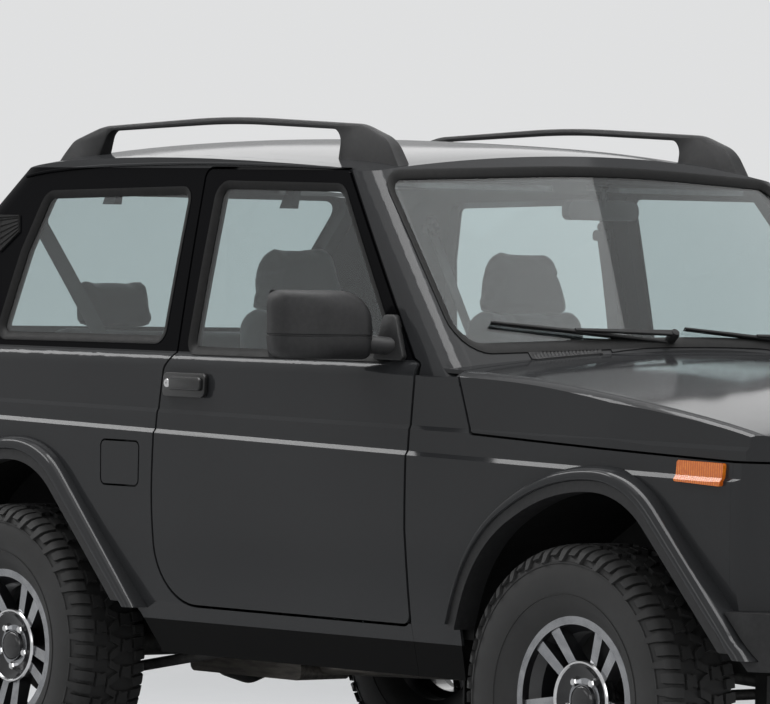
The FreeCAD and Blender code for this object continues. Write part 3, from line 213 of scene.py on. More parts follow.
# Where the painted panels are black, in metres: the window frames and the lower sill
FRAMES_LOW_Z = 1.1345
FRAMES_HIGH_Z = 1.592
FRAMES_Y = 0.655
FRAMES_REAR_X = -1.30
POST_SLOPE = 0.816
POST_FOOT_X = (FRONT_AXLE - 608) * MM
POST_FOOT_Z = 1.137
SILL_TOP_Z = 0.468


def make_paint():
    """Dark graphite with metal flakes, gloss black window frames and a black lower sill."""
    mat, tree, shader = new_material("graphite_paint")
    flakes = ramp(tree, voronoi(tree, 2600.0), [(0.1, PAINT_LIGHT), (0.6, PAINT_DARK)])
    tone = blend_colour(tree, noise_tex(tree, 1.6, 1.0), PAINT_DARK, flakes)
    x, y, z = position(tree)
    post_line = calc(tree, "MULTIPLY_ADD", z, POST_SLOPE, x)
    frames = calc(tree, "GREATER_THAN", z, FRAMES_LOW_Z)
    for bound in (
        calc(tree, "LESS_THAN", z, FRAMES_HIGH_Z),
        calc(tree, "GREATER_THAN", calc(tree, "ABSOLUTE", y), FRAMES_Y),
        calc(tree, "LESS_THAN", post_line, POST_SLOPE * POST_FOOT_Z + POST_FOOT_X),
        calc(tree, "GREATER_THAN", x, FRAMES_REAR_X),
    ):
        frames = calc(tree, "MULTIPLY", frames, bound)
    sill = calc(tree, "LESS_THAN", z, SILL_TOP_Z)
    colour = blend_colour(tree, frames, tone, FRAME_BLACK)
    colour = blend_colour(tree, sill, colour, LOWER_SILL_BLACK)
    link(tree, colour, shader, "Base Color")
    painted = calc(tree, "SUBTRACT", 1.0, calc(tree, "MAXIMUM", frames, sill))
    link(tree, calc(tree, "MULTIPLY_ADD", sill, 0.3, 0.4), shader, "Roughness")
    link(tree, calc(tree, "MULTIPLY_ADD", painted, 0.36, 0.1), shader, "Coat Weight")
    give(shader, Specular_IOR_Level=0.0, Coat_Roughness=0.09)
    bump(tree, shader, noise_tex(tree, 1400.0, 1.0), 0.02, 0.0003)
    return mat


def make_glass(name, tint):
    """Tinted pane that is seen through, with a soft reflection on its face."""
    mat, tree, shader = new_material(name)
    stops = [(0.0, tuple(c * 0.96 for c in tint)), (1.0, tint)]
    link(tree, ramp(tree, noise_tex(tree, 3.0, 1.0), stops), shader, "Base Color")
    give(shader, Transmission_Weight=1.0, Roughness=0.0, IOR=1.12,
         Coat_Weight=1.0, Coat_Roughness=0.02, Coat_IOR=1.45)
    return mat


def make_side_lens():
    """Ribbed amber plastic with painted glints, lighter along the ribs, standing in for the shine of a
    reflector behind.
    """
    mat, tree, shader = new_material("amber_lens")
    ribs = calc(tree, "MULTIPLY_ADD", wave(tree, position(tree)[0], TURN / 0.007), 0.5, 0.5)
    # painted glint: lighter amber where the ribs and the noise are both high
    painted_glint = calc(tree, "MULTIPLY", ribs, noise_tex(tree, 120.0, 1.0))
    link(tree, blend_colour(tree, painted_glint, (0.55, 0.1, 0.004), (0.95, 0.3, 0.02)), shader, "Base Color")
    give(shader, Roughness=0.12, Coat_Weight=0.5)
    bump(tree, shader, ribs, 0.4, 0.0012)
    return mat


TAIL_LAMP_FOOT = 0.69
TAIL_LAMP_HEIGHT = 0.318
TAIL_BANDS = [(0.0, (0.35, 0.008, 0.01)), (0.3, grey(0.62)), (0.46, (0.45, 0.01, 0.012)),
              (0.76, (0.75, 0.2, 0.01))]


def make_tail_lens():
    """Tail lamp bands: amber on top, red, clear, and red at the foot."""
    mat, tree, shader = new_material("tail_lens")
    z = position(tree)[2]
    share = calc(tree, "DIVIDE", calc(tree, "SUBTRACT", z, TAIL_LAMP_FOOT), TAIL_LAMP_HEIGHT)
    link(tree, ramp(tree, share, TAIL_BANDS, "CONSTANT"), shader, "Base Color")
    give(shader, Roughness=0.1, Coat_Weight=0.5)
    bump(tree, shader, wave(tree, z, TURN / 0.009), 0.35, 0.001)
    return mat


HEADLAMP_Y = 0.586
HEADLAMP_Z = 0.756
HEADLAMP_R = 0.09
# Painted reflection: light and dark rings on the reflector by share of the lamp radius, dark at the rim
HEADLAMP_REFLECTION_RINGS = [(0.0, (0.55, 0.57, 0.6)), (0.3, (0.28, 0.3, 0.33)), (0.55, (0.62, 0.64, 0.66)),
                  (0.86, (0.4, 0.42, 0.45)), (0.97, grey(0.05))]


def make_headlamp():
    """Clear dome over a fluted reflector, with rings of painted reflection in its colour."""
    mat, tree, shader = new_material("headlamp_lens")
    _, y, z = position(tree)
    off = calc(tree, "SUBTRACT", calc(tree, "ABSOLUTE", y), HEADLAMP_Y)
    rise = calc(tree, "SUBTRACT", z, HEADLAMP_Z)
    share = calc(tree, "DIVIDE", distance(tree, off, rise), HEADLAMP_R)
    link(tree, ramp(tree, share, HEADLAMP_REFLECTION_RINGS), shader, "Base Color")
    give(shader, Metallic=0.75, Roughness=0.16, Coat_Weight=1.0)
    bump(tree, shader, wave(tree, off, TURN / 0.008), 0.35, 0.0012)
    return mat


def make_fabric(name, dark, light, rate=1400.0):
    """Woven cloth: crossed threads, slight fuzz."""
    mat, tree, shader = new_material(name)
    x, y, z = position(tree)
    across, along = wave(tree, y, rate), wave(tree, calc(tree, "ADD", x, z), rate)
    weave = calc(tree, "MULTIPLY_ADD", calc(tree, "MULTIPLY", across, along), 0.5, 0.5)
    tone = blend_colour(tree, weave, dark, light)
    link(tree, blend_colour(tree, noise_tex(tree, 18.0, 3.0), tone, dark), shader, "Base Color")
    give(shader, Roughness=0.85, Sheen_Weight=0.35)
    bump(tree, shader, weave, 0.5, 0.0008)
    return mat


def make_tyre_rubber():
    mat, tree, shader = new_material("tyre_rubber")
    tone = ramp(tree, noise_tex(tree, 9.0, 4.0), [(0.3, grey(0.011)), (0.7, grey(0.02))])
    dust = calc(tree, "MULTIPLY", noise_tex(tree, 60.0, 5.0, 0.7), 0.35)
    link(tree, blend_colour(tree, dust, tone, (0.035, 0.034, 0.033)), shader, "Base Color")
    give(shader, Roughness=0.62, Specular_IOR_Level=0.35)
    bump(tree, shader, noise_tex(tree, 700.0, 3.0), 0.25, 0.0005)
    return mat


RIM_FACE_Y = 0.755
RIM_FACE_TILT = 0.62


def make_rim():
    """Turned bright spoke faces and lip, black pockets."""
    mat, tree, shader = new_material("rim_alloy")
    tilt, y = position(tree, "Normal")[1], position(tree)[1]
    facing = calc(tree, "GREATER_THAN", calc(tree, "ABSOLUTE", tilt), RIM_FACE_TILT)
    outer = calc(tree, "GREATER_THAN", calc(tree, "ABSOLUTE", y), RIM_FACE_Y)
    face = calc(tree, "MULTIPLY", facing, outer)
    bright = ramp(tree, noise_tex(tree, 30.0, 3.0), [(0.3, (0.2, 0.205, 0.215)), (0.7, (0.3, 0.305, 0.315))])
    link(tree, blend_colour(tree, face, (0.008, 0.008, 0.009), bright), shader, "Base Color")
    link(tree, calc(tree, "MULTIPLY", face, 0.9), shader, "Metallic")
    link(tree, calc(tree, "MULTIPLY_ADD", face, -0.1, 0.34), shader, "Roughness")
    give(shader, Coat_Weight=0.3)
    return mat


PAINT = make_paint()
BLACK_GLOSS = plain("gloss_black_trim", (0.006, 0.006, 0.007), (0.01, 0.01, 0.011), 0.16, 25.0)
PLASTIC = plain("grained_plastic", (0.009, 0.009, 0.0095), (0.016, 0.016, 0.0165), 0.5, 80.0, 0.35, 1500.0,
                specular=0.3)
LINER = plain("liner_plastic", grey(0.004), grey(0.008), 0.75, 30.0, 0.3, 600.0,
              specular=0.2)
CABIN = plain("cabin_plastic", (0.022, 0.022, 0.023), (0.034, 0.034, 0.035), 0.6, 60.0, 0.4, 1200.0)
HANDLE_LOOK = plain("handle_plastic", grey(0.006), grey(0.011), 0.34, 60.0, 0.2, 1300.0)
RUBBER = plain("trim_rubber", grey(0.004), grey(0.008), 0.5, 90.0, 0.2, 1400.0,
               specular=0.15)
UNDER = plain("underbody_coat", grey(0.012), (0.024, 0.024, 0.023), 0.7, 25.0, 0.6, 260.0)
CAST = plain("cast_metal", grey(0.03), (0.07, 0.068, 0.065), 0.62, 40.0, 0.6, 500.0, 0.6)
ALLOY_CAST = plain("cast_alloy", grey(0.22), grey(0.36), 0.5, 35.0, 0.5, 600.0, 0.8)
PIPE = plain("exhaust_steel", (0.09, 0.085, 0.08), (0.2, 0.185, 0.165), 0.45, 14.0, 0.2, 500.0, 0.9,
             (1, 6, 6))
CHROME = plain("bright_metal", grey(0.5), (0.62, 0.62, 0.63), 0.15, 40.0, metallic=1.0, rough_spread=0.04)
GLASS = make_glass("tinted_glass", (0.68, 0.76, 0.765))
MIRROR_GLASS = plain("mirror_glass", (0.6, 0.62, 0.64), (0.66, 0.68, 0.7), 0.04, 5.0, metallic=1.0,
                     rough_spread=0.01)
AMBER = make_side_lens()
TAIL_LENS = make_tail_lens()
HEADLAMP = make_headlamp()
FABRIC = make_fabric("seat_cloth", (0.02, 0.02, 0.021), (0.05, 0.05, 0.052))
VISOR = plain("visor_cloth", grey(0.1), grey(0.14), 0.8, 40.0, 0.4, 900.0)
BELT = make_fabric("belt_webbing", grey(0.012), grey(0.03), 2600.0)
TYRE = make_tyre_rubber()
RIM = make_rim()

NODE_LOOKS = {
    "body_paint": PAINT, "black_paint": BLACK_GLOSS, "underbody": UNDER, "tinted_glass": GLASS,
    "lamp_glass": HEADLAMP, "amber_lens": AMBER, "red_lens": TAIL_LENS, "black_plastic": PLASTIC,
    "cabin_plastic": CABIN, "seat_fabric": FABRIC, "flap_rubber": RUBBER, "tyre": TYRE, "alloy": RIM,
    "cast_metal": CAST, "light_alloy": ALLOY_CAST, "pipe_steel": PIPE,
}
for part in frame["record"]["subparts"]:
    data = NODES[part["node"]].data
    data.materials.clear()
    data.materials.append(NODE_LOOKS[part["material_slot"]])
for node, look in (("arch_liners", LINER), ("arch_lips", PLASTIC), ("springs", BLACK_GLOSS)):
    NODES[node].data.materials[0] = look


# Mesh helpers. A shape is a pair of lists: vertices and faces.
SHARP_ANGLE = math.radians(38)


def make_object(name, verts, faces, look, body, slot, smooth=True):
    data = bpy.data.meshes.new(name)
    data.from_pydata([tuple(v) for v in verts], [], faces)
    data.validate()
    data.materials.append(look)
    obj = bpy.data.objects.new(name, data)
    SCENE.collection.objects.link(obj)
    mesh = bmesh.new()
    mesh.from_mesh(data)
    bmesh.ops.remove_doubles(mesh, verts=mesh.verts, dist=1e-6)
    bmesh.ops.recalc_face_normals(mesh, faces=mesh.faces)
    mesh.to_mesh(data)
    mesh.free()
    if smooth:
        data.shade_smooth()
        data.set_sharp_from_angle(angle=SHARP_ANGLE)
    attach(obj, body)
    return obj


def surface(*names):
    """Ray-cast tree of some CAD nodes."""
    verts, polys = [], []
    for name in names:
        data = NODES[name].data
        base = len(verts)
        verts.extend(v.co.copy() for v in data.vertices)
        polys.extend([base + i for i in p.vertices] for p in data.polygons)
    return BVHTree.FromPolygons(verts, polys)


def cast(tree, origin, direction):
    """Place and outward normal where a ray meets the car, or nothing."""
    place, normal, _, _ = tree.ray_cast(origin, direction)
    if place is None:
        return None, None
    return place, (normal if normal.dot(direction) < 0 else -normal)


# Rays that start clear of the car, on its right, ahead of it, behind it and above it

def side_origin(d, z):
    return at(d, -1200, z), Vector((0, 1, 0))


def front_origin(y, z):
    return at(1200, y, z), Vector((-1, 0, 0))


def rear_origin(y, z):
    return at(-4200, y, z), Vector((1, 0, 0))


def top_origin(d, y):
    return at(d, y, 2200), Vector((0, 0, -1))


def outline_points(corners, arc_steps=7, step=40.0):
    """Closed list of points on an outline with rounded corners."""
    points = []
    count = len(corners)
    for i in range(count):
        here = Vector(corners[i][:2])
        radius = corners[i][2] if len(corners[i]) > 2 else 0
        before = (Vector(corners[i - 1][:2]) - here).normalized()
        after = (Vector(corners[(i + 1) % count][:2]) - here).normalized()
        if radius <= 0:
            points.append(here)
            continue
        half = before.angle(after) / 2
        reach = radius / math.tan(half)
        centre = here + (before + after).normalized() * (radius / math.sin(half))
        start, end = here + before * reach - centre, here + after * reach - centre
        turn = start.angle_signed(end)
        for k in range(arc_steps + 1):
            angle = -turn * k / arc_steps
            c, s = math.cos(angle), math.sin(angle)
            points.append(centre + Vector((start.x * c - start.y * s, start.x * s + start.y * c)))
    dense = []
    for i, p in enumerate(points):
        q = points[(i + 1) % len(points)]
        runs = max(1, int((q - p).length / step))
        dense.extend(p.lerp(q, k / runs) for k in range(runs))
    return dense


def outlined(*outline):
    """Points on a closed outline, each with the unit vector that points out of it."""
    points = outline_points(*outline)
    area = sum(points[i - 1].x * p.y - p.x * points[i - 1].y for i, p in enumerate(points))
    sign = 1 if area > 0 else -1
    pairs = []
    for i, p in enumerate(points):
        along = (points[(i + 1) % len(points)] - points[i - 1]).normalized()
        pairs.append((p, Vector((along.y, -along.x)) * sign))
    return pairs


def ring_mesh(rings, closed_section=False, closed_path=True, caps=False):
    """Shape of a sheet or tube that runs through rings of points."""
    width = len(rings[0])
    verts = [p for ring in rings for p in ring]
    faces = []
    count = len(rings)
    for i in range(count if closed_path else count - 1):
        j = (i + 1) % count
        for k in range(width if closed_section else width - 1):
            m = (k + 1) % width
            faces.append((i * width + k, i * width + m, j * width + m, j * width + k))
    if caps and not closed_path:
        faces.append(tuple(range(width)))
        faces.append(tuple((count - 1) * width + k for k in range(width)))
    return verts, faces


def solid(rings):
    """Shape through closed rings, with a cap at either end."""
    return ring_mesh(rings, closed_section=True, closed_path=False, caps=True)


def sweep(points, outs, sections):
    """Solid strip through points; each section lists (across, out) in millimetres."""
    rings = []
    for i, p in enumerate(points):
        along = (points[min(i + 1, len(points) - 1)] - points[max(i - 1, 0)]).normalized()
        across = along.cross(outs[i]).normalized()
        rings.append([p + (across * a + outs[i] * b) * MM for a, b in sections[i]])
    return solid(rings)


def slab(corners, place, thick, edge, steps=8):
    """Solid from an outline, edges rounded; place(u, v, t) gives a point, t from 0 to thick."""
    points = outlined(corners, steps, 30.0)
    rings = []
    for inset, t in ((edge, 0.0), (edge * 0.3, edge * 0.3), (0.0, edge),
                     (0.0, thick - edge), (edge * 0.3, thick - edge * 0.3), (edge, thick)):
        rings.append([place(*(p - n * inset), t) for p, n in points])
    return solid(rings)


def plate(corners, place, thick):
    """Thin plate from an outline, closed by fans; place(u, v, t) as for a slab."""
    points = outlined(corners, 8, 20.0)
    centre = sum((p for p, _ in points), Vector((0, 0))) / len(points)
    foot, top = place(*centre, 0.0), place(*centre, thick)
    sections = []
    for p, n in points:
        sections.append([foot, place(*p, 0.0), place(*p, thick * 0.6), place(*(p - n * 1.2), thick), top])
    return ring_mesh(sections)


def lathe(profile, origin, axis, steps=24):
    """Turned form about a place in metres from (distance along the axis, radius) in millimetres."""
    axis = axis.normalized()
    side = axis.orthogonal().normalized()
    up = axis.cross(side)
    rings = []
    for i in range(steps):
        a = TURN * i / steps
        rim = side * math.cos(a) + up * math.sin(a)
        rings.append([origin + (axis * along + rim * radius) * MM for along, radius in profile])
    return ring_mesh(rings)


def joined(shapes):
    verts, faces = [], []
    for more, polygons in shapes:
        shift = len(verts)
        verts += more
        faces += [tuple(shift + k for k in q) for q in polygons]
    return verts, faces


def sided(shape, sign):
    """A shape of the right-hand side, or its mirror image for the left."""
    verts, faces = shape
    return (verts if sign < 0 else [Vector((v.x, -v.y, v.z)) for v in verts]), faces


def smooth_path(points, steps=6):
    """Catmull-Rom points through a list of vectors."""
    out = []
    for i in range(len(points) - 1):
        p0, p1, p2 = points[max(i - 1, 0)], points[i], points[i + 1]
        p3 = points[min(i + 2, len(points) - 1)]
        for k in range(steps):
            t = k / steps
            out.append(0.5 * (2 * p1 + (p2 - p0) * t + (2 * p0 - 5 * p1 + 4 * p2 - p3) * t * t
                              + (3 * p1 - p0 - 3 * p2 + p3) * t ** 3))
    out.append(points[-1])
    return out


# Window seals

def gasket(corners, origin, tree, grow, shrink, rise):
    """Rubber section that covers the edge of a window from the body to the glass."""
    rings = []
    for p, n in outlined(corners):
        spots = [cast(tree, *origin(*(p + n * offset)))
                 for offset in (grow, grow * 0.55, 0.0, -shrink * 0.6, -shrink)]
        good = [s for s in spots if s[0] is not None]
        (first, up), last = good[0], good[-1][0]
        ring = [first - up * MM]
        for share, lift in ((0.0, 0.55), (0.25, 1.0), (0.6, 1.0), (0.9, 0.75), (1.0, 0.3)):
            ring.append(first.lerp(last, share) + up * rise * lift * MM)
        ring.append(last - up * MM)
        rings.append(ring)
    return ring_mesh(rings, closed_section=True)


for tag, sign in SIDES:
    for label, corners, nodes, body in (
        ("door", DOOR_GLASS, ("door_right", "door_glass_right"), "door_" + tag),
        ("quarter", QUARTER_GLASS, ("side_panel_right", "fixed_glass"), "body"),
    ):
        shape = gasket(corners, side_origin, surface(*nodes), 15.0, 6.0, 3.5)
        make_object(f"{label}_window_seal_{tag}", *sided(shape, sign), RUBBER, body, "flap_rubber")

screen_tree = surface("side_panel_right", "side_panel_left", "roof_panel", "scuttle", "fixed_glass")
shape = gasket(SCREEN, front_origin, screen_tree, 9.0, 15.0, 5.0)
make_object("windscreen_seal", *shape, RUBBER, "body", "flap_rubber")
shape = gasket(TAIL_GLASS, rear_origin, surface("tailgate", "tailgate_glass"), 18.0, 4.0, 4.5)
make_object("tailgate_window_seal", *shape, RUBBER, "tailgate", "flap_rubber")


# Drip rails along the roof edge, from behind the screen pillar to the rear corner
ROOF_EDGE = [(-930, 1552), (-985, 1578), (-1060, 1591), (-1300, 1598), (-1560, 1601), (-1800, 1598),
             (-2000, 1592), (-2180, 1580), (-2290, 1566)]
DRIP_START = -1010
DRIP_SECTION = ((-4, 0), (6, 0), (8, -2), (7, -6), (1, -8), (-5, -7))


def drip_rail():
    tree = surface("side_panel_right", "roof_panel", "door_right")
    rings = []
    for p in smooth_path([Vector(p) for p in ROOF_EDGE]):
        place, _ = cast(tree, *side_origin(p.x, p.y + 6))
        if place is not None and p.x <= DRIP_START:
            rings.append([place + Vector((0, -out, rise)) * MM for out, rise in DRIP_SECTION])
    return solid(rings)


for tag, sign in SIDES:
    make_object("drip_rail_" + tag, *sided(drip_rail(), sign), PAINT, "body", "body_paint")


# Vents in the rear pillars and the scuttle: thin panels that follow the surface below them
LOUVRES = 6
SLATS = 40


def panel(corner_points, origin, tree, nu, nv, height):
    """Closed thin panel over a four-sided patch; height(u, v) is its lift in millimetres."""
    a, b, c, e = [Vector(p) for p in corner_points]
    top, base = [], []
    for i in range(nu + 1):
        for j in range(nv + 1):
            u, v = i / nu, j / nv
            p = a.lerp(b, u).lerp(e.lerp(c, u), v)
            place, up = cast(tree, *origin(p.x, p.y))
            top.append(place + up * height(u, v) * MM)
            base.append(place - up * 0.8 * MM)
    faces = []
    width = nv + 1
    shift = len(top)
    for i in range(nu):
        for j in range(nv):
            k = i * width + j
            faces.append((k, k + 1, k + width + 1, k + width))
            faces.append((shift + k, shift + k + width, shift + k + width + 1, shift + k + 1))
    edge = list(range(nv + 1)) + [i * width + nv for i in range(1, nu + 1)]
    edge += [nu * width + j for j in range(nv - 1, -1, -1)] + [i * width for i in range(nu - 1, 0, -1)]
    for i, k in enumerate(edge):
        m = edge[(i + 1) % len(edge)]
        faces.append((k, m, shift + m, shift + k))
    return top + base, faces


def louvres(u, v):
    """Saw-tooth height with a raised frame round it."""
    rim = min(u, 1 - u) < 0.06 or min(v, 1 - v) < 0.08
    return 6.0 if rim else 1.2 + 3.0 * ((v * LOUVRES) % 1.0)


def slats(u, v):
    """Crosswise slats with a raised frame round them."""
    rim = min(u, 1 - u) < 0.03 or min(v, 1 - v) < 0.15
    return 2.6 if rim or int(u * SLATS) % 2 else 0.8


for tag, sign in SIDES:
    shape = panel([(-2281, 1467), (-2367, 1467), (-2335, 1371), (-2267, 1424)], side_origin,
                  surface("side_panel_right"), 12, 30, louvres)
    make_object("pillar_vent_" + tag, *sided(shape, sign), LINER, "body", "black_plastic", smooth=False)
    for label, inner, outer in (("inner", 90, 300), ("outer", 330, 540)):
        shape = panel([(-448, -inner), (-448, -outer), (-482, -outer), (-482, -inner)], top_origin,
                      surface("scuttle"), SLATS, 8, slats)
        make_object(f"scuttle_vent_{label}_{tag}", *sided(shape, sign), PLASTIC, "body", "black_plastic",
                    smooth=False)


# Roof rails: one bar that widens into its feet
RAIL = [(-2345, 1560), (-2235, 1664, 70), (-2120, 1700, 260), (-1593, 1725.5, 3500), (-1075, 1704, 170),
        (-968, 1668, 90), (-895, 1560), (-1165, 1560), (-1148, 1690, 38), (-1593, 1707, 3500),
        (-2090, 1688, 38), (-2150, 1560)]
RAIL_Y = 551
RAIL_WIDTH = 25
RAIL_FOOT_SPREAD = 9.0


def rail_place(u, v, t):
    spread = RAIL_FOOT_SPREAD * min(1.0, max(0.0, (1700 - v) / 70))
    return at(u, -(RAIL_Y - spread + t * (RAIL_WIDTH + 2 * spread) / RAIL_WIDTH), v)


for tag, sign in SIDES:
    shape = slab(RAIL, rail_place, RAIL_WIDTH, 6.5, 10)
    rail = make_object("rail_" + tag, *sided(shape, sign), PLASTIC, "body", "black_plastic")
    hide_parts("roof_rails")


# Arch flares: bands that swell out of the body and turn in at the opening. Outlines are (d from
# the axle, z), the band is (share of the way to the opening, share of the swell or millimetres in).
FLARES = (
    ("front", 0, [(-408, 520), (-374, 722, 380), (-72, 914, 560), (215, 911, 290), (627, 494)],
     [(-408, 520), (-345, 722, 380), (-60, 878, 560), (205, 876, 275), (577, 494)]),
    ("rear", -WHEELBASE, [(-408, 500), (-374, 715, 380), (-80, 908, 500), (190, 905, 275), (592, 494)],
     [(-408, 500), (-345, 710, 380), (-70, 872, 480), (175, 870, 260), (546, 494)]),
)
FLARE_BAND = [(0.0, -3.0), (0.0, 0.04), (0.05, 0.34), (0.12, 0.58), (0.22, 0.78), (0.34, 0.91), (0.48, 0.98),
              (0.62, 1.0), (0.8, 1.0), (0.92, 0.97), (0.985, 0.88), (1.0, 0.7), (1.0, 0.0), (0.6, -0.1)]
FLARE_Y = 848
FLARE_RINGS = 90
SKIN_Y = 800.0
SKIN_LEAST_Y = 740


def open_path(corners, count):
    """Evenly spaced points along an outline from its first to its last corner."""
    points = outline_points(corners, 14, 20.0)
    last = min(range(len(points)), key=lambda k: (points[k] - Vector(corners[-1][:2])).length)
    points = points[:last + 1]
    runs = [0.0]
    for p, q in zip(points, points[1:]):
        runs.append(runs[-1] + (q - p).length)
    out, k = [], 0
    for i in range(count):
        goal = runs[-1] * i / (count - 1)
        while k < len(runs) - 2 and runs[k + 1] < goal:
            k += 1
        out.append(points[k].lerp(points[k + 1], (goal - runs[k]) / max(runs[k + 1] - runs[k], 1e-9)))
    return out


def flare(shift, outer, inner):
    """Right-hand flare between two outlines, shifted from the front axle."""
    rings = []
    for p, q in zip(open_path(outer, FLARE_RINGS), open_path(inner, FLARE_RINGS)):
        grown = p + (p - q).normalized() * 4 if (p - q).length > 1 else p
        spot, _ = cast(SIDE_TREE, *side_origin(grown.x + shift, grown.y))
        # A ray that misses the outer skin takes the skin's usual place.
        base = -spot.y / MM if spot is not None and -spot.y / MM > SKIN_LEAST_Y else SKIN_Y
        ring = []
        for t, share in FLARE_BAND:
            r = p.lerp(q, t)
            depth = base + (FLARE_Y - base) * share if share >= 0 else base + share
            ring.append(at(r.x + shift, -depth, r.y))
        rings.append(ring)
    return solid(rings)


SIDE_TREE = surface("front_wing_right", "side_panel_right", "nose_panel", "tail_panel")
for label, *arch in FLARES:
    shape = flare(*arch)
    for tag, sign in SIDES:
        piece = make_object(f"{label}_flare_{tag}", *sided(shape, sign), PAINT, "body", "body_paint")
        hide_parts("arch_flares")


# Door mirrors and handles
HEAD = [(-700, -812, 40), (-716, -985, 150), (-790, -1062, 60), (-850, -1050, 16), (-850, -828, 16)]
HEAD_LOW, HEAD_HIGH = 1134.0, 1297.0


def mirror_head():
    """Housing: plan outlines stacked from foot to top, drawn in at both ends, with one groove."""
    points = outlined(HEAD, 10, 16.0)
    middle, half = (HEAD_LOW + HEAD_HIGH) / 2, (HEAD_HIGH - HEAD_LOW) / 2
    groove_levels = [-0.35, -0.33, -0.29, -0.27]
    rings = []
    for z in sorted([-math.cos(math.pi * i / 28) for i in range(29)] + groove_levels):
        full = (1 - min(1.0, abs(z)) ** 4.5) ** (1 / 2.6)
        groove = 3.0 if -0.34 < z < -0.28 else 0.0
        ring = []
        for p, n in points:
            back = 0.35 if n.x < -0.9 else 1.0
            q = p - n * (34 * (1 - full) * back + groove)
            lean = 6 * z * (1 if q.x > -840 else 0)
            run = min(1.0, max(0.0, (0.263 * q.x + 0.315 * q.y + 480) / 38))
            ring.append(at(q.x - lean, q.y, middle + half * z * (1 - 0.75 * run * run if z > 0 else 1)))
        rings.append(ring)
    return solid(rings)


def house_y(z):
    """Half width of the greenhouse at height z."""
    share = (z - BELT_Z) / (GLASS_TOP_Z - BELT_Z)
    return HOUSE_BASE_Y - (HOUSE_BASE_Y - HOUSE_TOP_Y) * (0.9 * share + 0.1 * share * share)


def mirror_sail():
    """Corner plate on the door with the neck that carries the housing."""
    sail = slab([(-640, 1134, 8), (-700, 1242, 22), (-744, 1242, 16), (-756, 1134, 8)],
                lambda u, v, t: at(u, -(house_y(v) - 6 + t), v), 20, 3)
    path = [at(-704, -772, 1166), at(-716, -800, 1168), at(-738, -832, 1172)]
    turns = [TURN * k / 16 for k in range(16)]
    section = [(math.cos(a) * 30, math.sin(a) * 22) for a in turns]
    return joined([sail, sweep(path, [Vector((0, 0, 1))] * 3, [section] * 3)])


def door_handle():
    surround = slab([(-1542, 1023, 14), (-1542, 1083, 14), (-1376, 1083, 14), (-1376, 1023, 14)],
                    lambda u, v, t: at(u, -(802 + t + (1053 - v) * 0.05), v), 13, 2.5)
    paddle = slab([(-1506, 1040, 8), (-1506, 1074, 12), (-1382, 1074, 12), (-1382, 1040, 8)],
                  lambda u, v, t: at(u, -(812 + t * (0.75 + 0.25 * math.cos((u + 1444) / 62))), v), 16, 5)
    return joined([surround, paddle])


for tag, sign in SIDES:
    for name, shape, look in (
        ("mirror_head", mirror_head(), PLASTIC),
        ("mirror_sail", mirror_sail(), PLASTIC),
        ("door_handle", door_handle(), HANDLE_LOOK),
    ):
        piece = make_object(f"{name}_{tag}", *sided(shape, sign), look, "door_" + tag, "black_plastic")
        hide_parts("door_fittings_" + tag)


# Tyres: carcass with shoulder and centre lugs. Profiles are (radius, width) in millimetres.
HALF_CARCASS = [(354, 40), (353, 70), (348, 92), (336, 104), (316, 113), (290, 116.5), (262, 115), (232, 106),
                (214, 96), (204, 88), (199, 84)]
CARCASS = [(r, -w) for r, w in reversed(HALF_CARCASS)] + [(354, 0)] + HALF_CARCASS
BEAD = ((199, 84), (191.5, 76.5), (190.9, 62), (215, 60))
WALL_RIDGES = ((318, 324, 112.5), (246, 249, 111.5))
PITCHES = 34
LUG_HEIGHT = 10.0
# Blocks of one pitch: share of the pitch, (arc length from the crown, half width) stations, skew
SIDE_LUGS = (
    (0.0, ((62, 12), (84, 12.5), (96, 12.5), (110, 11)), 0.12),
    (0.5, ((66, 11), (84, 12), (94, 12), (104, 10), (126, 7)), 0.12),
    (0.3, ((26, 11), (40, 13), (54, 10)), -0.5),
    (0.8, ((24, 10), (38, 13), (52, 11)), 0.4),
)
CENTRE_LUGS = (
    (0.0, ((-16, 9), (0, 12), (16, 9)), 0.6),
    (0.5, ((-16, 10), (0, 8), (16, 10)), -0.5),
)


def carcass_lengths():
    total = [0.0]
    for a, b in zip(CARCASS, CARCASS[1:]):
        total.append(total[-1] + math.hypot(b[0] - a[0], b[1] - a[1]))
    return total


LENGTHS = carcass_lengths()
MIDDLE = LENGTHS[CARCASS.index((354, 0))]


def carcass_at(s):
    """Radius, width and outward direction at arc length s from the crown."""
    s = min(max(s + MIDDLE, 0.0), LENGTHS[-1])
    k = max(i for i in range(len(LENGTHS) - 1) if LENGTHS[i] <= s + 1e-9)
    share = (s - LENGTHS[k]) / (LENGTHS[k + 1] - LENGTHS[k])
    (r0, w0), (r1, w1) = CARCASS[k], CARCASS[k + 1]
    dr, dw = r1 - r0, w1 - w0
    run = math.hypot(dr, dw)
    return r0 + dr * share, w0 + dw * share, (dw / run, -dr / run)


def on_wheel(angle, r, w):
    """Point in metres about a wheel's own centre."""
    return Vector((r * math.cos(angle), w, r * math.sin(angle))) * MM


def hoop(profile, side=1, steps=120):
    """Profile carried round the wheel; side -1 gives the mirror image."""
    return ring_mesh([[on_wheel(TURN * i / steps, r, side * w) for r, w in profile] for i in range(steps)])


